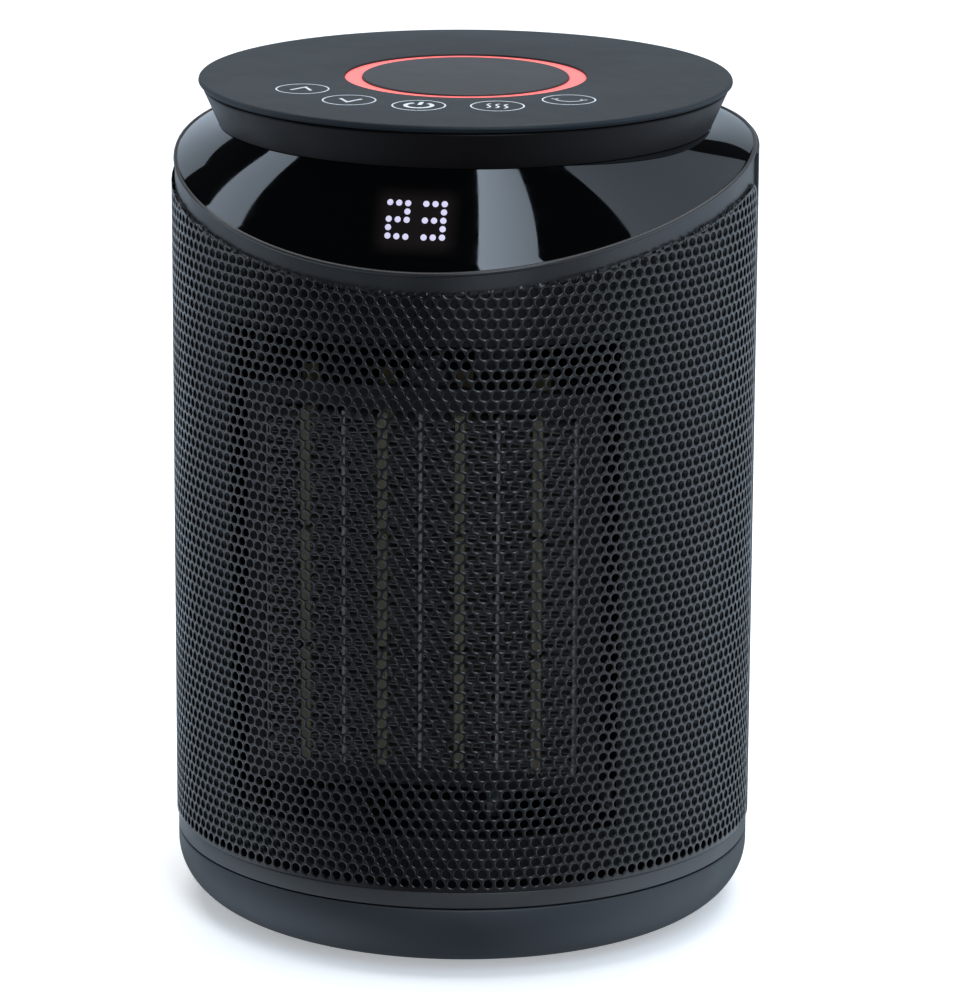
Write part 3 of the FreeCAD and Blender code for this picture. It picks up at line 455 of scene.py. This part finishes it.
def light_ring():
    inner, outer = DISC_R + 0.05 * MM, WELL_R - 0.05 * MM
    top = light_high.z - LENS_SINK
    flange_top = cap_low.z - 0.1 * MM
    reach = light_high.x
    corners = [(inner, top), (inner, flange_top), (inner - 3 * MM, flange_top), (inner - 3 * MM, light_low.z),
               (reach, light_low.z), (reach, flange_top), (outer, flange_top), (outer, top)]
    made = turned("light_ring_lens", rounded(corners, [0.15 * MM, 0, 0, 0, 0, 0, 0, 0.15 * MM]), "led_glow")
    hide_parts("led_ring")


def cap_skirt():
    top_r, top_z = 80.4 * MM, skirt_high.z
    neck_z = fascia_high.z + 0.2 * MM
    corners = [(top_r, top_z), (FASCIA_NECK_R, neck_z), (FASCIA_NECK_R - 2.6 * MM, neck_z),
               (FASCIA_NECK_R - 2.6 * MM, skirt_low.z), (FASCIA_NECK_R - 4.8 * MM, skirt_low.z),
               (FASCIA_NECK_R - 4.8 * MM, neck_z + 1.5 * MM), (top_r - 2.6 * MM, top_z)]
    made = turned("cap_skirt_skin", rounded(corners, [0.6 * MM, 0.3 * MM, 0, 0, 0, 0, 0]), "skirt_plastic")
    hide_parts("cap_skirt")


# Fascia ----------------------------------------------------------

def fascia_point(angle, share, depth=0.0):
    """(radius, z) on the fascia's outer profile, share 0 at the neck and 1 at the rim."""
    rim_z = edge_height(RIM_CURVE, angle)
    top = Vector((FASCIA_NECK_R, fascia_high.z))
    low = Vector((FRAME_R, rim_z))
    chord = low - top
    outward = Vector((-chord.y, chord.x)).normalized()
    bulge = 4 * FASCIA_BULGE * chord.length * share * (1 - share)
    return top + chord * share + outward * (bulge - depth)


def fascia_normal(angle, share):
    step = 1e-3
    first, second = fascia_point(angle, share - step), fascia_point(angle, share + step)
    chord = second - first
    return Vector((-chord.y, chord.x)).normalized()


def gloss_fascia():
    steps, along = 320, 26
    sections = []
    for i in range(steps):
        angle = 2 * math.pi * i / steps
        outer = [fascia_point(angle, k / along) for k in range(along + 1)]
        inner = [fascia_point(angle, k / 6, FASCIA_WALL * min(1.0, 0.35 + 0.65 * outer_fall(angle)))
                 for k in range(7)]
        rim = outer[-1]
        bead = 0.35 * MM
        outer[-1:] = [rim + Vector((-0.03 * MM, bead)), rim + Vector((-0.12 * MM, 0.35 * bead)),
                      rim + Vector((-bead, 0))]
        section = outer + [Vector((rim.x - FASCIA_WALL, inner[-1].y))] + inner[-2:0:-1]
        section.append(Vector((FASCIA_NECK_R - FASCIA_WALL, outer[0].y - 1.2 * MM)))
        sections.append([polar(p.x, angle, p.y) for p in section])
    made = piece("gloss_fascia_skin", *ring_of_sections(sections), "gloss_black", sharp=40.0)
    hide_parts("gloss_fascia")


def trim_bead():
    """Rounded upper edge of the trim band, which stands just proud of the gloss fascia."""
    bead_r, steps, around = 0.8 * MM, 320, 12
    sections = []
    for i in range(steps):
        angle = 2 * math.pi * i / steps
        centre = Vector((FRAME_R - 0.15 * MM, edge_height(RIM_CURVE, angle) - 0.2 * MM))
        turns = [2 * math.pi * k / around for k in range(around)]
        sections.append([polar(centre.x + bead_r * math.cos(t), angle, centre.y + bead_r * math.sin(t))
                         for t in turns])
    piece("trim_bead", *ring_of_sections(sections), "satin_black", finish="trim", sharp=60.0)


def trim_band():
    """The satin band between the bead and the grille, a thin skin on the front frame, lighter than the
    frame's wall: partly its own dark grey and partly a painted highlight.
    """
    proud, tucked, steps = 0.25 * MM, 0.6 * MM, 240
    sections = []
    for i in range(steps + 1):
        angle = GRILLE_HALF_ANGLE * (2 * i / steps - 1)
        top = edge_height(RIM_CURVE, angle) - 0.3 * MM
        low = grille_limit(angle) - tucked
        inner, outer = FRAME_R - proud, FRAME_R + proud
        outline = [(inner, top), (outer, top), (outer, low), (inner, low)]
        sections.append([polar(r, angle, z) for r, z in outline])
    piece("trim_band", *ring_of_sections(sections, closed=False), "satin_black", finish="trim", sharp=40.0)


def outer_fall(angle):
    """How far the rim has dropped below its height at the back: 1 at the front, 0 at the back."""
    back = edge_height(RIM_CURVE, math.pi)
    return (back - edge_height(RIM_CURVE, angle)) / (back - RIM_CURVE[0])


def display_digits():
    """The lit dots of the two-digit display, set in the fascia's surface."""
    pitch, row_pitch, dot_r = 2.7 * MM, 2.52 * MM, 0.93 * MM
    rows = {"2": ("XXX", "  X", "XXX", "X  ", "XXX"), "3": ("XXX", "  X", "XXX", "  X", "XXX")}
    length = (fascia_point(0, 1) - fascia_point(0, 0)).length
    middle = (dots_low.z + dots_high.z) / 2
    centre_share = (fascia_high.z - middle - DISPLAY_LIFT) / (fascia_high.z - fascia_low.z)
    verts, faces = [], []
    for place, digit in ((-2.5, "2"), (1.5, "3")):
        for row, line in enumerate(rows[digit]):
            for column, mark in enumerate(line):
                if mark != "X":
                    continue
                share = centre_share + (row - 2) * row_pitch / length
                across = (place + column - 0.5) * pitch + DISPLAY_SHIFT
                add_dot(verts, faces, across, share, dot_r)
    made = piece("display_digits", verts, faces, "display_glow", sharp=60.0)
    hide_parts("display_leds")


def add_dot(verts, faces, across, share, dot_r):
    """A shallow round dome on the fascia, sunk a little into it."""
    radius = fascia_point(0, share).x
    angle = math.asin(across / radius)
    profile = fascia_normal(angle, share)
    spot = fascia_point(angle, share)
    centre = polar(spot.x, angle, spot.y)
    normal = (polar(profile.x, angle) + Vector((0, 0, profile.y))).normalized()
    side = Vector((math.cos(angle), math.sin(angle), 0))
    upward = normal.cross(side).normalized()
    around = 20
    rings = ((1.0, -0.10 * MM), (1.0, 0.02 * MM), (0.85, 0.05 * MM), (0.45, 0.055 * MM))
    start = len(verts)
    for share_r, lift in rings:
        for k in range(around):
            turn = 2 * math.pi * k / around
            spoke = side * math.cos(turn) + upward * math.sin(turn)
            verts.append(centre + normal * lift + spoke * dot_r * share_r)
    for level in range(len(rings) - 1):
        for k in range(around):
            after = (k + 1) % around
            a, b = start + level * around, start + (level + 1) * around
            faces.append((a + k, a + after, b + after, b + k))
    faces.append(tuple(start + k for k in range(around)))
    faces.append(tuple(start + (len(rings) - 1) * around + k for k in range(around)))


# Grille ----------------------------------------------------------

def grille_limit(angle):
    """Height of the grille's top edge, with its two upper corners rounded."""
    top = edge_height(GRILLE_TOP, angle)
    short = (GRILLE_HALF_ANGLE - abs(angle)) * BODY_R
    if short < GRILLE_CORNER:
        drop = GRILLE_CORNER - math.sqrt(max(0.0, GRILLE_CORNER ** 2 - (GRILLE_CORNER - short) ** 2))
        top -= drop
    return top


def front_grille():
    """The perforated sheet, in sectors side by side to keep each mesh light."""
    for sector in range(GRILLE_SECTORS):
        first = sector * GRILLE_COLUMNS // GRILLE_SECTORS - GRILLE_COLUMNS // 2
        last = (sector + 1) * GRILLE_COLUMNS // GRILLE_SECTORS - GRILLE_COLUMNS // 2
        holed = perforated(range(first, last))
        made = piece(f"grille_sheet_{sector + 1}", *holed, "grille_metal", sharp=80.0)
        trim_sheet(made.data)
        thickness = made.modifiers.new("thickness", "SOLIDIFY")
        thickness.thickness = SHEET
        thickness.offset = -1.0
        applied(made)
        made.data.shade_smooth()
        made.data.set_sharp_from_angle(angle=math.radians(40.0))
        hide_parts("front_grille")


def perforated(columns):
    """Front face of some columns of the sheet: each hole sits in a hexagonal cell beside its neighbours'."""
    corner_r = HOLE_PITCH / math.sqrt(3)
    squash = ROW_PITCH / (HOLE_PITCH * math.sqrt(3) / 2)
    span = GRILLE_HALF_ANGLE * BODY_R
    bottom = grille_low.z
    outline_r = HOLE_R + HOLE_EDGE
    turns = [math.pi / 6 * k for k in range(12)]
    verts, faces, shared = [], [], {}

    def vertex(across, z, depth, thinnest=0.0):
        """A vertex kept inside the outline; a hole's vertex within reach of the top edge opens onto it."""
        across = max(-span, min(span, across))
        angle = across / BODY_R
        top = grille_limit(angle)
        if z > top - thinnest:
            z = top
        verts.append(polar(BODY_R - depth, angle, max(bottom, z)))
        return len(verts) - 1

    def border(across, z):
        key = (round(across / (0.05 * MM)), round(z / (0.05 * MM)))
        if key not in shared:
            shared[key] = vertex(across, z, 0.0)
        return shared[key]

    for row in GRILLE_ROWS:
        z = ROW_ORIGIN + row * ROW_PITCH
        for column in columns:
            across = COLUMN_ORIGIN * BODY_R + (column + 0.5 * (row % 2)) * HOLE_PITCH
            if abs(across) > span + HOLE_PITCH or z < bottom - ROW_PITCH:
                continue
            if z > grille_limit(max(-span, min(span, across)) / BODY_R) + ROW_PITCH:
                continue
            hexagon, edge, wall = [], [], []
            for k, turn in enumerate(turns):
                reach = corner_r if k % 2 else corner_r * math.cos(math.pi / 6)
                hexagon.append(border(across + reach * math.cos(turn), z + squash * reach * math.sin(turn)))
            if abs(across) + outline_r > span or z - outline_r < bottom:
                faces.append(tuple(hexagon))
                continue
            for turn in turns:
                for ring, radius, depth in ((edge, outline_r, 0.0), (wall, HOLE_R, HOLE_DISH)):
                    ring.append(vertex(across + radius * math.cos(turn), z + radius * math.sin(turn), depth,
                                       THINNEST))
            for k in range(12):
                after = (k + 1) % 12
                faces.append((hexagon[k], hexagon[after], edge[after], edge[k]))
                faces.append((edge[k], edge[after], wall[after], wall[k]))
    return verts, faces


def trim_sheet(mesh):
    """Remove the tiny faces left where the sheet's edge cuts holes, and turn every face outwards."""
    cleaned = bmesh.new()
    cleaned.from_mesh(mesh)
    for face in cleaned.faces:
        middle = face.calc_center_median()
        if face.normal.dot(Vector((middle.x, middle.y, 0))) < 0:
            face.normal_flip()
    slivers = [face for face in cleaned.faces if face.calc_area() < SLIVER]
    bmesh.ops.delete(cleaned, geom=slivers, context="FACES")
    loose = [v for v in cleaned.verts if not v.link_faces]
    bmesh.ops.delete(cleaned, geom=loose, context="VERTS")
    cleaned.to_mesh(mesh)
    cleaned.free()


# Heating element -------------------------------------------------

def corrugated_fins():
    """Eight strips of thin aluminium folded back and forth between the bars and the separators."""
    fold, sheet = 2.6 * MM, 0.16 * MM
    front, back = fins_low.y, fins_high.y
    height = fins_high.z - fins_low.z
    folds = int(height / fold)
    verts, faces = [], []
    width = BAR_PITCH / 2 - BAR_W / 2 - LEAF_W / 2
    for bar in range(4):
        middle = (bar - 1.5) * BAR_PITCH
        for side in (-1, 1):
            near = middle + side * (BAR_W / 2 + sheet)
            far = middle + side * (BAR_W / 2 + width - sheet)
            line = fold_line(near, far, fins_low.z + sheet, fold, folds)
            add_strip(verts, faces, line, sheet, front, back)
    made = piece("corrugated_fins", verts, faces, "aluminium", sharp=50.0)
    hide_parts("fin_packs")


def fold_line(near, far, start_z, fold, folds):
    """Zigzag between two sides with rounded bends, as points (x, z)."""
    points = []
    bend = fold * 0.2
    direction = 1 if far > near else -1
    for count in range(folds):
        z = start_z + count * fold
        for side, level in ((near, z), (far, z + fold / 2)):
            inward = direction if side == near else -direction
            points.append((side + inward * bend, level - bend * 0.55))
            points.append((side + inward * bend * 0.15, level - bend * 0.15))
            points.append((side + inward * bend * 0.15, level + bend * 0.45))
            points.append((side + inward * bend, level + bend * 0.85))
    return points


def add_strip(verts, faces, line, sheet, front, back):
    """Extrude a folded line of sheet along Y."""
    start = len(verts)
    count = len(line)
    for index, (x, z) in enumerate(line):
        before = Vector(line[max(0, index - 1)])
        after = Vector(line[min(count - 1, index + 1)])
        along = (after - before).normalized()
        across = Vector((-along.y, along.x)) * sheet / 2
        for sign in (1, -1):
            for y in (front, back):
                verts.append(Vector((x + sign * across.x, y, z + sign * across.y)))
    for index in range(count - 1):
        a, b = start + 4 * index, start + 4 * (index + 1)
        for first, second in ((0, 1), (1, 3), (3, 2), (2, 0)):
            faces.append((a + first, a + second, b + second, b + first))
    faces.append((start, start + 1, start + 3, start + 2))
    last = start + 4 * (count - 1)
    faces.append((last, last + 2, last + 3, last + 1))


def add_block(verts, faces, low, high, bevel):
    """A block with chamfered edges."""
    start = len(verts)
    for z in (low.z, low.z + bevel, high.z - bevel, high.z):
        inset = bevel if z in (low.z, high.z) else 0.0
        x0, x1, y0, y1 = low.x + inset, high.x - inset, low.y + inset, high.y - inset
        corners = [(x0 + bevel, y0), (x1 - bevel, y0), (x1, y0 + bevel), (x1, y1 - bevel),
                   (x1 - bevel, y1), (x0 + bevel, y1), (x0, y1 - bevel), (x0, y0 + bevel)]
        verts.extend(Vector((x, y, z)) for x, y in corners)
    for level in range(3):
        for k in range(8):
            a, b = start + 8 * level, start + 8 * (level + 1)
            faces.append((a + k, a + (k + 1) % 8, b + (k + 1) % 8, b + k))
    faces.append(tuple(start + k for k in range(8)))
    faces.append(tuple(start + 24 + k for k in range(8)))


def heating_bars():
    """Each bar is three ceramic elements in a row in a yellowish insulating sleeve."""
    verts, faces = [], []
    height = bars_high.z - bars_low.z
    gap = 1.4 * MM
    for bar in range(4):
        middle = (bar - 1.5) * BAR_PITCH
        for part in range(3):
            low_z = bars_low.z + part * height / 3 + (gap / 2 if part else 0)
            high_z = bars_low.z + (part + 1) * height / 3 - (gap / 2 if part < 2 else 0)
            add_block(verts, faces, Vector((middle - BAR_W / 2, bars_low.y, low_z)),
                      Vector((middle + BAR_W / 2, bars_high.y, high_z)), 0.4 * MM)
    made = piece("heating_bars", verts, faces, "ceramic", sharp=30.0)
    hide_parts("ptc_bars")


# Printed keys ----------------------------------------------------

def stroke(verts, faces, line, width, closed=False):
    """A flat printed line of even width with mitred corners, as a thin closed strip."""
    start = len(verts)
    count = len(line)
    for index in range(count):
        here = Vector(line[index])
        before = Vector(line[index - 1]) if closed or index else here
        after = Vector(line[(index + 1) % count]) if closed or index < count - 1 else here
        arriving = (here - before).normalized() if here != before else (after - here).normalized()
        leaving = (after - here).normalized() if after != here else arriving
        normal = Vector((-(arriving + leaving).y, (arriving + leaving).x)).normalized()
        mitre = max(0.5, normal.dot(Vector((-arriving.y, arriving.x))))
        for sign in (1, -1):
            for lift in (-INK, INK):
                flat = here + normal * sign * width / 2 / mitre
                verts.append(Vector((flat.x, flat.y, lift)))
    spans = count if closed else count - 1
    for index in range(spans):
        a, b = start + 4 * index, start + 4 * ((index + 1) % count)
        for first, second in ((0, 1), (1, 3), (3, 2), (2, 0)):
            faces.append((a + first, a + second, b + second, b + first))
    if not closed:
        last = start + 4 * (count - 1)
        faces.append((start, start + 1, start + 3, start + 2))
        faces.append((last, last + 2, last + 3, last + 1))


def arc(radius, start, end, steps, centre=(0.0, 0.0)):
    turns = [math.radians(start + (end - start) * k / steps) for k in range(steps + 1)]
    return [(centre[0] + radius * math.cos(t), centre[1] + radius * math.sin(t)) for t in turns]


def wave(x):
    return [(x + 0.7 * math.sin(2 * math.pi * k / 12), -3.2 + 6.4 * k / 12) for k in range(13)]


# Each key: its angle from the front in degrees and its distance from the axis, then its lines and their
# widths, in millimetres
KEYS = {
    "key_warmer": (-53.6, 54.6, [([(-3.1, -2.3), (0.3, 3.0), (3.0, -2.1)], 0.95)]),
    "key_cooler": (-29.3, 54.2, [([(-3.1, 2.1), (0.0, -3.1), (3.4, 2.3)], 0.95)]),
    "key_power": (-5.1, 51.6, [(arc(4.0, 122, 418, 28), 1.3), ([(0.0, 0.9), (0.0, 5.4)], 1.25)]),
    "key_heat_level": (21.2, 51.0, [(wave(-2.6), 0.6), (wave(0.0), 0.6), (wave(2.6), 0.6)]),
    "key_swing": (48.4, 50.2, [(arc(4.4, 200, 340, 18, (0.0, 1.6)), 0.55),
                                ([(-5.4, 0.9), (-4.2, 0.1), (-3.3, 1.3)], 0.5),
                                ([(3.3, 1.3), (4.2, 0.1), (5.4, 0.9)], 0.5)]),
}


def printed_keys():
    """Five printed touch keys, upright as seen from the front."""
    top = Vector((0, 0, CAP_TOP))
    for name, (angle, reach, lines) in KEYS.items():
        verts, faces = [], []
        outline = arc(KEY_R / MM, 0, 360, 72)[:-1]
        for line, width, closed in [(outline, 0.48, True)] + [(line, width, False) for line, width in lines]:
            stroke(verts, faces, [(x * MM, y * MM) for x, y in line], width * MM, closed)
        centre = polar(reach * MM, math.radians(angle)) + top
        piece(name, [v + centre for v in verts], faces, "cap_soft", finish="ink", sharp=20.0)


# ---------------------------------------------------------------- finishes of the CAD nodes that stay

# Nodes whose finish isn't the plain one of their slot: a blackened can, and the front frame's wall behind the
# grille, duller and with its black made darker as painted shade
NODE_FINISHES = {"swivel_motor": "dark_plastic", "front_frame": "frame_wall"}


def finish_cad_nodes():
    slots = {entry["node"]: entry["material_slot"] for entry in frame["record"]["subparts"]}
    slots.update(NODE_FINISHES)
    for name, node in frame["nodes"].items():
        node.data.materials.clear()
        node.data.materials.append(MATERIALS[slots[name]].material)


# ---------------------------------------------------------------- stage, light and camera

# How strongly the world lights the heater from below: at the sides, at the front, and everywhere
SIDE_FILL = 1.9
FRONT_FILL = 0.03
ROOM_FILL = 0.02

CAMERA_TURN = math.radians(10.5)
CAMERA_RISE = math.radians(14.834)
CAMERA_DISTANCE = 1.7074
CAMERA_ROLL = math.radians(0.30)
CAMERA_LENS = 197.3
AIM_HEIGHT = 126.35 * MM
AIM_RIGHT = 5.05 * MM


def aim(thing, target):
    thing.rotation_euler = (target - thing.location).to_track_quat("-Z", "Y").to_euler()


def camera():
    data = bpy.data.cameras.new("camera")
    made = bpy.data.objects.new("camera", data)
    bpy.context.scene.collection.objects.link(made)
    data.lens = CAMERA_LENS
    data.sensor_width = 36.0
    data.clip_end = 100.0
    right = Vector((math.cos(CAMERA_TURN), math.sin(CAMERA_TURN), 0))
    level = CAMERA_DISTANCE * math.cos(CAMERA_RISE)
    height = AIM_HEIGHT + CAMERA_DISTANCE * math.sin(CAMERA_RISE)
    made.location = polar(level, CAMERA_TURN, height)
    aim(made, Vector((0, 0, AIM_HEIGHT)) + right * AIM_RIGHT)
    made.rotation_euler.rotate_axis("Z", CAMERA_ROLL)
    bpy.context.scene.camera = made


def softbox(name, turns, rises, radiance, roll=0.0, lean=0.0, falloff=0.0):
    """An upright soft light panel standing round the heater, between two bearings and two rises.

    Roll tips it sideways, lean tips its top towards the heater, and falloff dims it from side to side.
    """
    distance = 1.8
    middle, half = sum(turns) / 2, (turns[1] - turns[0]) / 2
    low, high = (distance * math.tan(math.radians(rise)) for rise in rises)
    data = bpy.data.lights.new(name, "AREA")
    data.shape = "RECTANGLE"
    data.size = 2 * distance * math.tan(math.radians(half))
    data.size_y = high - low
    data.energy = radiance * math.pi * data.size * data.size_y
    data.color = DAYLIGHT
    made = bpy.data.objects.new(name, data)
    bpy.context.scene.collection.objects.link(made)
    centre = Vector((0, 0, 0.2 + (low + high) / 2))
    made.location = centre + polar(distance, CAMERA_TURN + math.radians(middle))
    aim(made, centre)
    made.rotation_euler.rotate_axis("Z", math.radians(roll))
    made.rotation_euler.rotate_axis("X", -math.radians(lean))
    made.visible_camera = False
    if falloff:
        data.use_nodes = True
        nodes, links = data.node_tree.nodes, data.node_tree.links
        across = nodes.new("ShaderNodeSeparateXYZ")
        ramp = nodes.new("ShaderNodeMapRange")
        links.new(nodes.new("ShaderNodeNewGeometry").outputs["Parametric"], across.inputs[0])
        links.new(across.outputs[0], ramp.inputs["Value"])
        ramp.inputs["To Min"].default_value = 1 + falloff
        ramp.inputs["To Max"].default_value = 1 - falloff
        links.new(ramp.outputs[0], nodes["Emission"].inputs["Strength"])


def overhead(radiance, size, height):
    """A square soft light above and behind the heater, which whitens the floor."""
    data = bpy.data.lights.new("softbox_top", "AREA")
    data.size = size
    data.energy = radiance * math.pi * size ** 2
    made = bpy.data.objects.new("softbox_top", data)
    bpy.context.scene.collection.objects.link(made)
    made.location = polar(0.4, CAMERA_TURN + math.pi, height)
    aim(made, Vector((0, 0, 0)))
    made.visible_camera = False


def sky():
    """The world: white behind the heater, and in its reflections a dark room lit from below at the sides."""
    world = bpy.data.worlds.new("studio")
    bpy.context.scene.world = world
    world.use_nodes = True
    nodes, links = world.node_tree.nodes, world.node_tree.links

    def math_node(operation, *values):
        made = nodes.new("ShaderNodeMath")
        made.operation = operation
        for socket, value in zip(made.inputs, values):
            if isinstance(value, bpy.types.NodeSocket):
                links.new(value, socket)
            else:
                socket.default_value = value
        return made.outputs[0]

    direction = nodes.new("ShaderNodeTexCoord").outputs["Generated"]
    across = nodes.new("ShaderNodeVectorMath")
    across.operation = "DOT_PRODUCT"
    across.inputs[1].default_value = (math.cos(CAMERA_TURN), math.sin(CAMERA_TURN), 0)
    links.new(direction, across.inputs[0])
    sideways = math_node("MULTIPLY", across.outputs["Value"], across.outputs["Value"])
    height = nodes.new("ShaderNodeSeparateXYZ")
    links.new(direction, height.inputs[0])
    below = nodes.new("ShaderNodeMapRange")
    links.new(height.outputs[2], below.inputs["Value"])
    for socket, value in (("From Min", -0.15), ("From Max", -0.9), ("To Min", 0.0), ("To Max", 1.7)):
        below.inputs[socket].default_value = value
    around = math_node("MULTIPLY_ADD", sideways, SIDE_FILL, FRONT_FILL)
    room = nodes["Background"]
    room.inputs["Color"].default_value = (*DAYLIGHT, 1)
    links.new(math_node("MULTIPLY_ADD", around, below.outputs[0], ROOM_FILL), room.inputs["Strength"])
    backdrop = nodes.new("ShaderNodeBackground")
    backdrop.inputs["Color"].default_value = (1, 1, 1, 1)
    mix = nodes.new("ShaderNodeMixShader")
    links.new(nodes.new("ShaderNodeLightPath").outputs["Is Camera Ray"], mix.inputs[0])
    links.new(room.outputs[0], mix.inputs[1])
    links.new(backdrop.outputs[0], mix.inputs[2])
    links.new(mix.outputs[0], nodes["World Output"].inputs["Surface"])


def studio():
    sky()
    softbox("softbox_key", (4, 27), (-3, 56), 4.8, roll=-7, lean=12, falloff=0.25)
    softbox("softbox_left", (-116, -96), (4, 46), 2.5, roll=14)
    softbox("panel_right_high", (64, 146), (12, 64), 0.97, roll=-6, falloff=0.55)
    softbox("panel_right_low", (53, 146), (-32, 12), 0.85, falloff=0.2)
    softbox("panel_left_low", (-140, -78), (-32, 6), 0.42)
    softbox("backdrop_light", (146, 224), (-25, 24), 0.64, falloff=-0.3)
    overhead(3.0, 2.2, 2.0)


def floor():
    verts, faces = [], []
    reach = 30.0
    for x, y in ((-reach, -reach), (reach, -reach), (reach, reach), (-reach, reach)):
        verts.append((x, y, 0.0))
    mesh = bpy.data.meshes.new("floor")
    mesh.from_pydata(verts, [], [(0, 1, 2, 3)])
    made = bpy.data.objects.new("floor", mesh)
    bpy.context.scene.collection.objects.link(made)
    shader = Shader("floor", Roughness=0.75)
    pale = shader.blend(shader.noise(3.0), (0.93, 0.93, 0.93), (0.96, 0.96, 0.96))
    shader.set("Base Color", pale)
    shader.set("Emission Color", pale)
    shader.bsdf.inputs["Emission Strength"].default_value = 0.35
    mesh.materials.append(shader.material)
    made.visible_diffuse = made.visible_glossy = made.visible_shadow = False


camera()
finish_cad_nodes()
base_bowl()
lower_ring()
touch_cap()
centre_disc()
light_ring()
cap_skirt()
gloss_fascia()
trim_bead()
trim_band()
display_digits()
front_grille()
corrugated_fins()
heating_bars()
printed_keys()
studio()
floor()
bpy.context.scene.view_settings.view_transform = "Standard"
